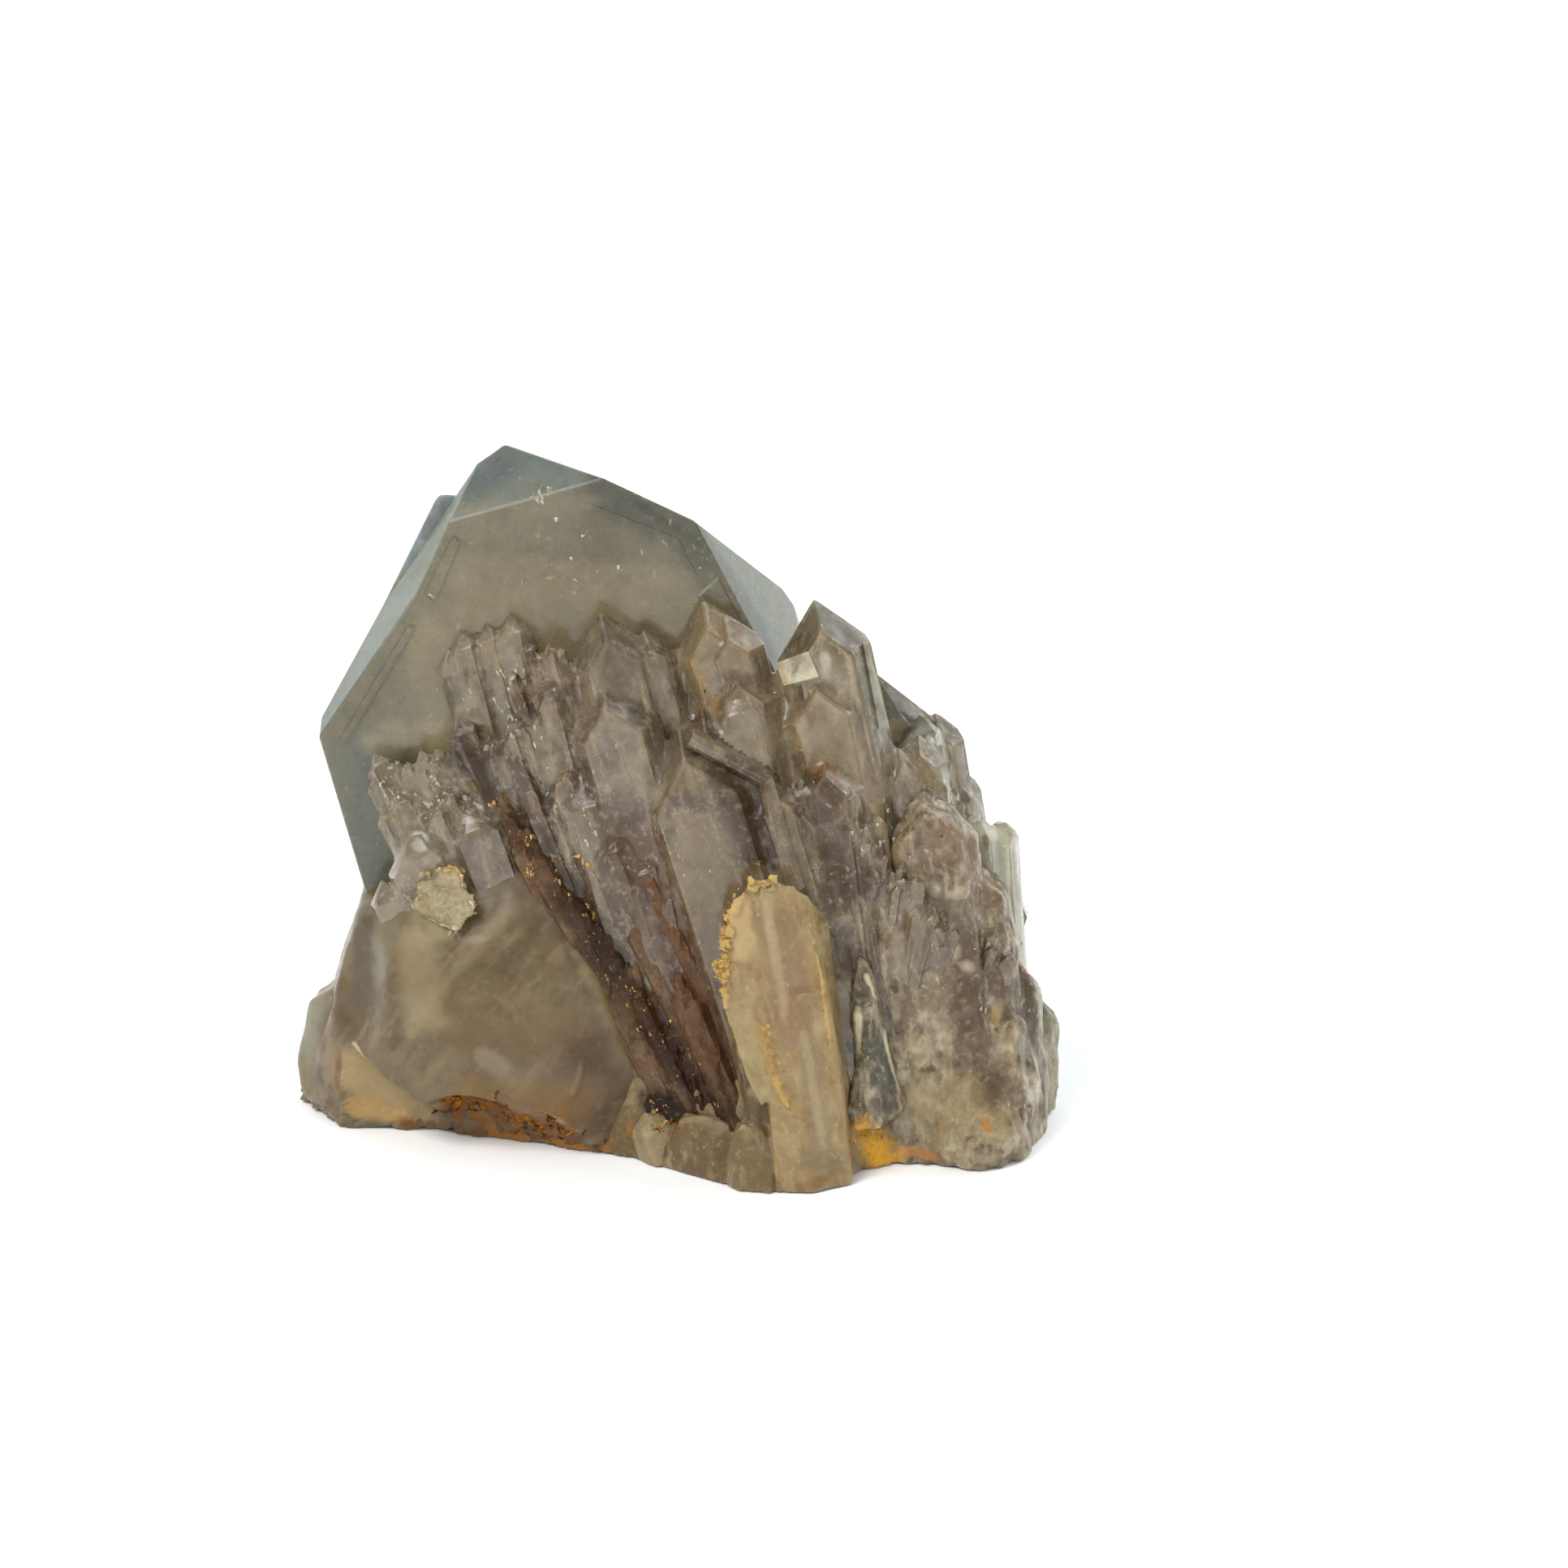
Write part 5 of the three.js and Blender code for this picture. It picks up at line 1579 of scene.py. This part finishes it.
flankMarks = {
    "sandTop": spot((20, -8, 34), (21, -9, 29), 3, (152, 132, 108), 0.7),
    "bluePatch": spot((24.4, -9.6, 25.6), (29, -10, 24), 2.2, (104, 98, 90)),
    "milkyCloud": spot((21, -10.6, 26), (25, -11, 14), 2.6, (176, 168, 152), 0.5),
    "greyCloud": spot((21, -10, 19), (23.4, -11, 15), 1.6, (100, 92, 82), 0.7),
    "mauveShade": spot((28, -10, 22), (29.6, -12, 11), 2.4, (96, 78, 66), 0.85),
    "warmTop": spot((26, -8, 32), (30, -7, 26), 3, (134, 112, 92), 0.75),
    "lowCream": spot((32, -8, 17), (34, -9, 9), 3, (92, 80, 58), 0.85),
    "lowCreamEdge": spot((31.6, -10, 15), (29.6, -12, 9), 0.7, (180, 160, 110)),
    "wallCream": spot((24, -13, 6), (31, -14, 6), 4, (170, 154, 120), 0.6),
    "wallBrown": spot((31, -12, 7), (33.4, -10, 3), 3.6, (80, 62, 46), 0.9),
    "shardPale": spot((17.7, -15, 16.6), (18.1, -15, 12.3), 0.6, (232, 234, 212), 0.95),
    "shardDark": spot((19.6, -15, 13), (20.6, -15, 6.6), 1.5, (84, 86, 76)),
    "orangeBase": spot((18.2, -16, 4.6), (19.4, -15.4, 1), 1.8, (250, 190, 50), 0.95, soft=1),
    "orangeSpot": spot((28.8, -13.6, 9.6), (29.2, -13.8, 9), 0.8, (196, 140, 62), 0.85),
    "orangeSpotLow": spot((30.4, -15, 4.6), (30.6, -15, 4), 0.8, (192, 140, 74), 0.85),
    # Painted shadow along the flank's underside
    "underShadow": spot((25, -14.6, 0.4), (33, -14.4, 0.4), 1.3, (106, 90, 70), 0.85),
    "edgeBlue": spot((36.4, -1, 10), (37.8, 0, 5), 2, (150, 150, 136), 0.7),
    "redEdge": spot((34.7, -4, 17), (34.2, -4, 14.6), 0.9, (128, 52, 34), 0.95),
    "redEdgeLow": spot((33.2, -6, 14.6), (32.6, -7, 13.6), 0.6, (128, 60, 38), 0.9),
    "orangeVein": spot((21, -14.4, 1.6), (26, -14.6, 0.8), 0.7, (196, 130, 40)),
    "rightShade": spot((34.4, -6, 14), (35, -6, 3), 3.6, (92, 80, 62), 0.85),
    "mauveRight": spot((31, -8, 20), (31.4, -9, 16), 1.6, (106, 86, 72)),
    "creamTip": spot((30, -3, 31), (32, -2, 28.6), 1.6, (186, 188, 174)),
    "orangeRight": spot((20.4, -14.8, 2.6), (21.6, -14.2, 0.6), 1.5, (248, 186, 60), 0.85, soft=1),
    "orangeUp": spot((17.8, -15.4, 6.4), (18, -15.6, 5.4), 0.9, (196, 156, 76), 0.7, soft=1),
    "creamLine": spot((32.9, -6.6, 16), (31.3, -11.5, 9.9), 0.4, (226, 208, 150)),
    "shardLine": spot((18.7, -14, 19.8), (21.8, -14.4, 7.9), 0.35, (220, 218, 200), 0.85),
    **puffMarks,
    "ribShade": spot((23, -10, 22), (24.4, -11, 16), 2, (110, 100, 84), 0.6),
}

rootMarks = {
    "frontTan": spot((-6, -12, 2), (4, -15, 3), 4, (124, 104, 72), 0.85),
    "orangeBase": spot((18.2, -16, 4.6), (20.4, -14.8, 0.6), 2.4, (250, 192, 40), 0.95, soft=0.9),
    "cavity": spot((-2.4, -13.4, 6), (1, -14, 4.4), 2.4, (36, 18, 4), 0.98, soft=0.5),
    "yellowSpot": spot((-3.4, -13.6, 3.6), (-2.8, -14, 1.6), 1.6, (210, 140, 2), 0.95),
    "baseTan": spot((-28, -6, 1), (-8, -11, 1), 3, (176, 120, 44), 0.9),
}

fanLean = (0, math.radians(-16), 0)
lumpLean = (0, math.radians(38), 0)
seamLean = (0, math.radians(-34), 0)

# What a look is made of; sizes in millimetres, colours from 0 to 255
broadQuartz = {
    "name": "broadQuartz",
    "gain": (1.08, 1.04, 0.9),
    "shine": 0.4, "transmission": 0.58, "roughness": (0.2, 0.34), "coat": 0.35, "coatRoughness": 0.05,
    "subsurface": 0.5, "softness": 1.6,
    "absorbColour": (0.8, 0.765, 0.68), "absorbDensity": 190,
    "cloud": dict(size=7, share=0.5, dark=(102, 94, 72), pale=(150, 143, 118)),
    "streaks": dict(size=1.1, length=9, share=0.25, colour=(158, 150, 126)),
    "wisps": dict(size=4.5, thin=0.02, share=0.3, colour=(158, 148, 118)),
    "mottle": dict(size=0.9, share=0.6, tint=(0.8, 0.78, 0.7), lift=0.25, colour=(160, 154, 132)),
    "paintedGlints": dict(size=0.42, above=0.68, share=0.5, colour=(200, 194, 170)),
    "grooveStainAndShade": dict(reach=1.2, share=0.5, tint=(0.8, 0.68, 0.48)),
    "striae": dict(size=0.6, height=0.012),
    "marks": broadMarks,
}

fanQuartz = {
    "name": "fanQuartz",
    "gain": (1.1, 1.02, 0.9),
    "shine": 0.25, "transmission": 0.55, "roughness": (0.1, 0.28), "coat": 0.5, "coatRoughness": 0.08,
    "subsurface": 0.7, "softness": 0.9,
    "absorbColour": (0.74, 0.67, 0.56), "absorbDensity": 140,
    "cloud": dict(size=3.4, share=0.75, dark=(88, 72, 58), pale=(162, 152, 132)),
    "streaks": dict(size=0.8, length=7, share=0.7, colour=(170, 160, 138)),
    "wisps": dict(size=2.2, thin=0.025, share=0.7, colour=(180, 168, 140)),
    "mottle": dict(size=0.9, share=0.45, tint=(0.7, 0.63, 0.56), lift=0.4, colour=(186, 176, 152)),
    "paintedGlints": dict(size=0.4, above=0.68, share=0.5, colour=(212, 204, 182)),
    "grooveStainAndShade": dict(reach=1.0, share=0.55, tint=(0.8, 0.62, 0.4)),
    "striae": dict(size=0.5, height=0.03),
    "marks": {**grooveMarks, **fanMarks},
}

seamQuartz = {
    "name": "seamQuartz",
    "gain": (0.72, 0.6, 0.46),
    "lean": seamLean,
    "shine": 0.15, "transmission": 0.05, "roughness": (0.2, 0.4), "coat": 0.3, "coatRoughness": 0.1,
    "subsurface": 0.2, "softness": 0.8,
    "absorbColour": (0.7, 0.6, 0.48), "absorbDensity": 200,
    "cloud": dict(size=1.3, share=0.7, dark=(70, 50, 36), pale=(126, 108, 88)),
    "streaks": dict(size=0.4, length=7, share=0.5, colour=(132, 112, 92)),
    "wisps": dict(size=1.6, thin=0.03, share=0.35, colour=(150, 118, 66)),
    "mottle": dict(size=0.6, share=0.7, tint=(0.7, 0.6, 0.5), lift=0.15, colour=(146, 126, 98)),
    "paintedGlints": dict(size=0.3, above=0.68, share=0.5, colour=(196, 182, 152)),
    "grooveStainAndShade": dict(reach=0.8, share=0.6, tint=(0.66, 0.46, 0.28)),
    "striae": dict(size=0.4, height=0.04),
    "marks": {**grooveMarks, **seamMarks},
}

lumpQuartz = {
    "name": "lumpQuartz",
    "gain": (0.72, 0.64, 0.5),
    "lean": lumpLean,
    "shine": 0.2, "transmission": 0.3, "roughness": (0.28, 0.46), "coat": 0.2, "coatRoughness": 0.16,
    "subsurface": 0.25, "softness": 1.0,
    "absorbColour": (0.66, 0.58, 0.46), "absorbDensity": 260,
    "cloud": dict(size=5, share=0.7, dark=(106, 90, 68), pale=(158, 147, 124)),
    "streaks": dict(size=1.4, length=8, share=0.6, colour=(166, 154, 130)),
    "wisps": dict(size=4, thin=0.02, share=0.12, colour=(160, 148, 122)),
    "mottle": dict(size=0.9, share=0.4, tint=(0.82, 0.77, 0.68), lift=0.25, colour=(164, 152, 126)),
    "paintedGlints": dict(size=0.5, above=0.72, share=0.25, colour=(172, 162, 140)),
    "grooveStainAndShade": dict(reach=1.2, share=0.7, tint=(0.7, 0.5, 0.26)),
    "striae": dict(size=1.1, height=0.06),
    "marks": lumpMarks,
}

flakeQuartz = {
    "name": "flakeQuartz",
    "gain": (1, 0.92, 0.7),
    "shine": 0.2, "transmission": 0.35, "roughness": (0.3, 0.5), "coat": 0.2, "coatRoughness": 0.2,
    "subsurface": 0.5, "softness": 1.0,
    "absorbColour": (0.8, 0.76, 0.66), "absorbDensity": 200,
    "cloud": dict(size=2, share=0.5, dark=(142, 126, 98), pale=(182, 174, 150)),
    "streaks": dict(size=0.6, length=3, share=0.4, colour=(186, 178, 154)),
    "wisps": dict(size=1.6, thin=0.03, share=0.4, colour=(176, 152, 106)),
    "mottle": dict(size=0.5, share=0.7, tint=(0.74, 0.68, 0.58), lift=0.35, colour=(208, 200, 174)),
    "paintedGlints": dict(size=0.4, above=0.66, share=0.4, colour=(208, 200, 176)),
    "grooveStainAndShade": dict(reach=1.0, share=0.8, tint=(0.78, 0.58, 0.32)),
    "striae": dict(size=0.5, height=0.03),
    "marks": flakeMarks,
}

milkyQuartz = {
    "name": "milkyQuartz",
    "gain": (0.71, 0.665, 0.555),
    "shine": 0.15, "transmission": 0.1, "roughness": (0.4, 0.6), "coat": 0.1, "coatRoughness": 0.25,
    "subsurface": 0.3, "softness": 1.6,
    "absorbColour": (0.8, 0.74, 0.62), "absorbDensity": 200,
    "cloud": dict(size=2.8, share=0.55, dark=(134, 106, 74), pale=(188, 176, 150)),
    "streaks": dict(size=0.8, length=7, share=0.5, colour=(184, 170, 142)),
    "wisps": dict(size=2.4, thin=0.03, share=0.4, colour=(188, 162, 112)),
    "mottle": dict(size=0.8, share=0.35, tint=(0.78, 0.68, 0.52), lift=0.3, colour=(204, 188, 152)),
    "paintedGlints": dict(size=0.4, above=0.68, share=0.4, colour=(210, 194, 156)),
    "grooveStainAndShade": dict(reach=1.2, share=0.9, tint=(0.76, 0.52, 0.26)),
    "striae": dict(size=0.5, height=0.03),
    "marks": bladeMarks,
}

flankQuartz = {
    "name": "flankQuartz",
    "gain": (0.82, 0.75, 0.63),
    "lean": (0, math.radians(-5), 0),
    "shine": 0.2, "transmission": 0.25, "roughness": (0.24, 0.44), "coat": 0.4, "coatRoughness": 0.1,
    "subsurface": 0.6, "softness": 1.4,
    "absorbColour": (0.76, 0.69, 0.58), "absorbDensity": 180,
    "cloud": dict(size=1.8, share=0.9, dark=(86, 70, 58), pale=(196, 190, 174)),
    "streaks": dict(size=0.8, length=6, share=0.75, colour=(188, 180, 162)),
    "wisps": dict(size=2.2, thin=0.035, share=0.65, colour=(186, 176, 154)),
    "mottle": dict(size=0.8, share=0.5, tint=(0.7, 0.62, 0.54), lift=0.35, colour=(196, 188, 166)),
    "paintedGlints": dict(size=0.5, above=0.65, share=0.55, colour=(204, 196, 176)),
    "grooveStainAndShade": dict(reach=1.4, share=0.7, tint=(0.72, 0.56, 0.36)),
    "striae": dict(size=0.6, height=0.04),
    "marks": flankMarks,
}

rootQuartz = {
    "name": "rootQuartz",
    "gain": (0.66, 0.6, 0.48),
    "shine": 0.15, "transmission": 0.15, "roughness": (0.38, 0.6), "coat": 0.1, "coatRoughness": 0.25,
    "subsurface": 0.3, "softness": 2.0,
    "absorbColour": (0.8, 0.74, 0.62), "absorbDensity": 200,
    "cloud": dict(size=3, share=0.6, dark=(116, 100, 76), pale=(170, 160, 136)),
    "streaks": dict(size=0.8, length=6, share=0.5, colour=(174, 165, 142)),
    "wisps": dict(size=2.2, thin=0.035, share=0.4, colour=(178, 166, 138)),
    "mottle": dict(size=0.6, share=0.7, tint=(0.72, 0.64, 0.52), lift=0.3, colour=(180, 168, 138)),
    "paintedGlints": dict(size=0.4, above=0.68, share=0.4, colour=(194, 184, 156)),
    "grooveStainAndShade": dict(reach=1.4, share=0.8, tint=(0.68, 0.5, 0.3)),
    "striae": dict(size=0.6, height=0.04),
    "marks": rootMarks,
}


# Waves that bend the outlines of clouds and marks, in millimetres
waves = {"frequency": 0.45, "reach": 2.4, "steady": 0.3}

# Noise values between which each layer fades in
fades = {
    "pale": (0.5, 0.72),
    "dark": (0.5, 0.3),
    "streaks": (0.48, 0.72),
    "wisps": (0.4, 0.56),
    "mottle": (0.48, 0.68),
    "lift": (0.46, 0.3),
    "grooveStainAndShade": (0.62, 0.2),
    "stainAndShade": (0.3, 0.6),
    "paintedGlints": (0.42, 0.62),
    "polish": (0.03, 0.2),
    "rough": (0.3, 0.7),
    "grains": (0.35, 0.65),
}


def quartzColour(tree, recipe, place):
    wander = add(tree, "TexNoise", {
        "Vector": place, "Scale": waves["frequency"], "Detail": 3.0,
    }).outputs["Color"]
    centred = vector(tree, "SUBTRACT", wander, (0.5, 0.5, 0.5))
    drift = vector(tree, "MULTIPLY", centred, (waves["reach"],) * 3)
    warped = vector(tree, "ADD", place, drift)
    steady = vector(tree, "ADD", place, vector(tree, "MULTIPLY", drift, (waves["steady"],) * 3))
    lean = recipe.get("lean", fanLean)

    colour = add(tree, "Attribute", attribute_name="shade").outputs["Color"]
    cloud = recipe["cloud"]
    zone = cloudy(tree, warped, cloud["size"], 3.0)
    colour = tinted(tree, colour, zone, *fades["pale"], cloud["share"], cloud["pale"])
    colour = tinted(tree, colour, zone, *fades["dark"], cloud["share"], cloud["dark"])
    streaks = recipe["streaks"]
    fibre = cloudy(tree, steady, streaks["size"], 3.0, 0.6, (1, 1, streaks["length"]), lean, (7, 3, 1))
    colour = tinted(tree, colour, fibre, *fades["streaks"], streaks["share"], streaks["colour"])

    # Wisps are the thin shells where a noise crosses its middle value, where there are streaks too
    wisps = recipe["wisps"]
    veil = cloudy(tree, warped, wisps["size"], 3.0, 0.55, (1, 1, 1.6), lean, (3, 8, 6))
    away = number(tree, "ABSOLUTE", number(tree, "SUBTRACT", veil, 0.5))
    thin = ranged(tree, away, 0.0, wisps["thin"], 1.0, 0.0)
    thin = number(tree, "MULTIPLY", thin, ranged(tree, fibre, *fades["wisps"]))
    colour = mixed(tree, number(tree, "MULTIPLY", thin, wisps["share"]), colour, linear(wisps["colour"]))
    colour = marked(tree, colour, (steady, warped), recipe["marks"])

    mottle = recipe["mottle"]
    grain = cloudy(tree, place, mottle["size"], 4.0, 0.65, offset=(2, 9, 4))
    shade = ranged(tree, grain, *fades["mottle"], 0, mottle["share"])
    colour = mixed(tree, shade, colour, mottle["tint"] + (1,), "MULTIPLY")
    colour = tinted(tree, colour, grain, *fades["lift"], mottle["lift"], mottle["colour"])
    # Iron stain and painted shade in the grooves: where ambient occlusion finds the surface sheltered, the
    # colour is darkened and browned
    grooveStainAndShade = recipe["grooveStainAndShade"]
    shelter = add(tree, "AmbientOcclusion", {"Distance": grooveStainAndShade["reach"] * mm}, samples=2, only_local=True)
    sheltered = ranged(tree, shelter.outputs["AO"], *fades["grooveStainAndShade"])
    stainAndShade = number(tree, "MULTIPLY", sheltered, ranged(tree, zone, *fades["stainAndShade"]))
    stainAndShade = number(tree, "MULTIPLY", stainAndShade, grooveStainAndShade["share"])
    colour = mixed(tree, stainAndShade, colour, grooveStainAndShade["tint"] + (1,), "MULTIPLY")
    # Painted glints: small bright specks where a stretched noise peaks, gathered in patches
    paintedGlints = recipe["paintedGlints"]
    sparkle = cloudy(tree, place, paintedGlints["size"], 1.0, 0.5, (1, 1, 1.8), fanLean, (4, 4, 8))
    patchy = ranged(tree, cloudy(tree, place, 4.5, 1.0, offset=(1, 5, 2)), *fades["paintedGlints"])
    lit = number(tree, "MULTIPLY", ranged(tree, sparkle, paintedGlints["above"], paintedGlints["above"] + 0.05), patchy)
    colour = mixed(tree, number(tree, "MULTIPLY", lit, paintedGlints["share"]), colour, linear(paintedGlints["colour"]))
    return mixed(tree, 1.0, colour, recipe["gain"] + (1,), "MULTIPLY")


# Fine lines across the crystals, with small pits
def quartzBump(tree, recipe, place):
    striae = recipe["striae"]
    lines = cloudy(tree, place, striae["size"], 2.0, 0.6, (4, 4, 0.6), fanLean)
    pits = cloudy(tree, place, 0.35, 2.0, 0.6, offset=(3, 3, 3))
    relief = number(tree, "ADD", lines, number(tree, "MULTIPLY", pits, 0.5))
    return add(tree, "Bump", {
        "Strength": 0.5, "Distance": striae["height"] * mm, "Height": relief,
    }).outputs[0]


def emptyLook(name):
    look = bpy.data.materials.new(name)
    look.use_nodes = True
    look.node_tree.nodes.clear()
    where = add(look.node_tree, "TexCoord").outputs["Object"]
    return look, look.node_tree, vector(look.node_tree, "MULTIPLY", where, (1 / mm,) * 3)


quartzIndex = 1.544
bleed = (1.0, 0.8, 0.55)  # how far red, green and blue spread under the surface


def quartzLook(recipe):
    look, tree, place = emptyLook(recipe["name"])
    place = vector(tree, "SUBTRACT", place, tuple(originShift))
    colour = quartzColour(tree, recipe, place)
    level = add(tree, "RGBToBW", {"Color": colour}).outputs[0]
    polish = ranged(tree, level, *fades["polish"], 0.02, recipe["coat"])  # the dark grooves are dull
    low, high = recipe["roughness"]
    uneven = cloudy(tree, place, 2.2, 2.0, 0.6, offset=(6, 1, 3))
    rough = ranged(tree, uneven, *fades["rough"], low, high)
    shader = add(tree, "BsdfPrincipled", {
        "Base Color": colour,
        "Roughness": rough,
        "Normal": quartzBump(tree, recipe, place),
        "IOR": quartzIndex,
        "Specular IOR Level": recipe["shine"],
        "Transmission Weight": recipe["transmission"],
        "Subsurface Weight": recipe["subsurface"],
        "Subsurface Radius": bleed,
        "Subsurface Scale": recipe["softness"] * mm,
        "Coat Weight": polish,
        "Coat Roughness": recipe["coatRoughness"],
    })
    absorbed = add(tree, "VolumeAbsorption", {
        "Color": recipe["absorbColour"] + (1,),
        "Density": recipe["absorbDensity"],
    })
    output = add(tree, "OutputMaterial", {"Surface": shader.outputs[0], "Volume": absorbed.outputs[0]})
    output.is_active_output = True
    return look


# Opaque grains: rust, gold-coloured earth, dark specks, and pale flecks painted bright as glints
grainLooks = {
    "gold_grains": dict(
        name="gold", shade="sand", trails=goldTrails,
        pale=(196, 160, 96), dark=(140, 100, 50), roughness=0.55, shine=0.3),
    "rust_grains": dict(
        name="rust", shade="brown", trails=rustTrails,
        pale=(164, 108, 28), dark=(62, 33, 4), roughness=0.7, shine=0.1),
    "dark_specks": dict(
        name="speck", shade="purple", trails=speckTrails,
        pale=(58, 46, 38), dark=(30, 24, 20), roughness=0.6, shine=0.1),
    "glint_flecks": dict(
        name="glintFleck", shade="milk", trails=glintFleckTrails,
        pale=(188, 180, 160), dark=(142, 134, 114), roughness=0.3, shine=0.5),
}


def grainLook(recipe):
    look, tree, place = emptyLook(recipe["name"])
    tint = ranged(tree, cloudy(tree, place, 0.8, 3.0), *fades["grains"])
    colour = mixed(tree, tint, linear(recipe["dark"]), linear(recipe["pale"]))
    smooth = recipe["roughness"] - 0.1
    rough = ranged(tree, cloudy(tree, place, 0.3, 2.0), *fades["rough"], smooth, smooth + 0.25)
    bump = add(tree, "Bump", {
        "Strength": 0.5, "Distance": 0.03 * mm, "Height": cloudy(tree, place, 0.15, 3.0),
    }).outputs[0]
    shader = add(tree, "BsdfPrincipled", {
        "Base Color": colour, "Roughness": rough, "Normal": bump, "Specular IOR Level": recipe["shine"],
    })
    add(tree, "OutputMaterial", {"Surface": shader.outputs[0]})
    return look


# The cluster
def fanBlocks():
    blocks = [hullOf(fanBody, shade="mauve")]
    roll = makeDice(flankHabit["seed"])
    for habit in singles.values():
        blocks.append(quartz(**habit))
        if habit["wide"] > flankHabit["widerThan"]:
            blocks += [quartz(**flank) for flank in flanks(habit, roll, flankHabit["count"])]
    for row in rows.values():
        blocks += [quartz(**habit) for habit in sheaf(**row)]
    for group in thickets.values():
        blocks += [quartz(**habit) for habit in thicket(**group)]
    return blocks


# The dirty seam beside the lump
def seamBlocks():
    blocks = []
    for row in seamRows.values():
        blocks += [quartz(**habit) for habit in sheaf(**row)]
    return blocks + [quartz(**habit) for habit in thicket(**seamThicket)]


broad = aboveCut(joined(mainCrystal() + [growthStep(**step) for step in growthSteps.values()]))
# The window and strip facets carry painted highlights
facets = [hullOf(windowFacet, 0.05, "windowHighlight"), hullOf(stripFacet, 0.05, "stripHighlight")]
facets += ribbonBlocks()
fan = aboveCut(joined([silted(joined(fanBlocks()), fanSilt)] + facets))
seam = aboveCut(silted(joined(seamBlocks()), seamSilt))
lumps = joined(brokenLumps())
flake = weathered(joined(flakeBodies()), flakeShape["break"])
blade = weathered(aboveCut(joined(bladeBodies())), bladeBreak)
flank = weathered(aboveCut(joined(flankBodies())), flankBreak)
root = weathered(aboveCut(joined(rootBodies())), rootBreak)
print("crystals, lumps, blade and root built")

crystals = {
    "broad_crystal": (broad, broadQuartz),
    "fan_crystals": (fan, fanQuartz),
    "seam_crystals": (seam, seamQuartz),
    "broken_lumps": (lumps, lumpQuartz),
    "pale_flake": (flake, flakeQuartz),
    "milky_blade": (blade, milkyQuartz),
    "milky_flank": (flank, flankQuartz),
    "milky_root": (root, rootQuartz),
}
for name, (block, recipe) in crystals.items():
    finished(block, name, quartzLook(recipe), smooth=block is not broad)

surface = surfaceOf([block for block, _ in crystals.values()])
for name, recipe in grainLooks.items():
    finished(grains(surface, recipe["trails"], recipe["shade"]), name, grainLook(recipe))
print("grains laid")

# Studio
studio = {
    "floor": {"size": 6, "drop": 0.0002, "tone": 0.9, "roughness": 0.9},
    "rear": (-0.7, 0.7),
    "overhead": (0.35, 0.95),
    "front": (0.42, 0.43, 0.44),
    "behind": (1.15, 1.17, 1.16),
    "above": (0.62, 0.67, 0.7),
    "worldStrength": 1.0,
    "key": dict(at=(-0.45, -0.5, 0.75), size=0.5, power=9.0, colour=(1, 0.985, 0.96)),
    "rim": dict(at=(0.6, 0.35, 0.5), size=0.4, power=5.0, colour=(0.93, 0.98, 1)),
    "fill": dict(at=(0.5, -0.7, 0.25), size=0.5, power=2.0, colour=(1, 0.98, 0.95)),
    "lampsAim": (0.01, 0, 0.03),
}


def makeFloor():
    bm = bmesh.new()
    bmesh.ops.create_grid(bm, x_segments=4, y_segments=4, size=studio["floor"]["size"])
    mesh = bpy.data.meshes.new("floor")
    bm.to_mesh(mesh)
    bm.free()
    floor = bpy.data.objects.new("floor", mesh)
    bpy.context.scene.collection.objects.link(floor)
    floor.location.z = -studio["floor"]["drop"]
    look = bpy.data.materials.new("floorLook")
    look.use_nodes = True
    shader = look.node_tree.nodes["Principled BSDF"]
    shader.inputs["Base Color"].default_value = (studio["floor"]["tone"],) * 3 + (1,)
    shader.inputs["Roughness"].default_value = studio["floor"]["roughness"]
    mesh.materials.append(look)


def makeWorld():
    world = bpy.data.worlds.new("studio")
    bpy.context.scene.world = world
    world.use_nodes = True
    tree = world.node_tree
    tree.nodes.clear()
    facing = add(tree, "TexCoord").outputs["Generated"]
    parts = add(tree, "SeparateXYZ", {0: facing}).outputs
    rear = ranged(tree, parts["Y"], *studio["rear"])
    level = mixed(tree, rear, studio["front"] + (1,), studio["behind"] + (1,))
    colour = mixed(tree, ranged(tree, parts["Z"], *studio["overhead"]), level, studio["above"] + (1,))
    lit = add(tree, "Background", {"Color": colour, "Strength": studio["worldStrength"]})
    add(tree, "OutputWorld", {"Surface": lit.outputs[0]})


def makeLamp(name, at, size, power, colour):
    lamp = bpy.data.lights.new(name, "AREA")
    lamp.shape = "DISK"
    lamp.size = size
    lamp.energy = power
    lamp.color = colour
    holder = bpy.data.objects.new(name, lamp)
    bpy.context.scene.collection.objects.link(holder)
    holder.location = at
    aim = Vector(studio["lampsAim"]) - Vector(at)
    holder.rotation_euler = aim.to_track_quat("-Z", "Y").to_euler()
    holder.visible_glossy = False  # soft light without a hard reflection of the lamp


view = {
    "target": (10.7, 0.23, 34.5),
    "distance": 600,
    "lens": 139.75,
    "sensor": 36,
    "clip": (0.01, 50),
}


def makeCamera():
    camera = bpy.data.cameras.new("camera")
    camera.lens = view["lens"]
    camera.sensor_width = view["sensor"]
    camera.clip_start, camera.clip_end = view["clip"]
    holder = bpy.data.objects.new("camera", camera)
    bpy.context.scene.collection.objects.link(holder)
    rise = math.radians(lookDown)
    offset = Vector((0, -math.cos(rise), math.sin(rise))) * view["distance"]
    holder.location = (Vector(view["target"]) + offset) * mm
    holder.rotation_euler = (math.radians(90) - rise, 0, 0)
    bpy.context.scene.camera = holder


makeFloor()
makeWorld()
for name in ("key", "rim", "fill"):
    makeLamp(name, **studio[name])
makeCamera()
bpy.context.scene.view_settings.view_transform = "Standard"
bpy.context.scene.cycles.max_bounces = 11
bpy.context.scene.cycles.transmission_bounces = 8
print("studio built")
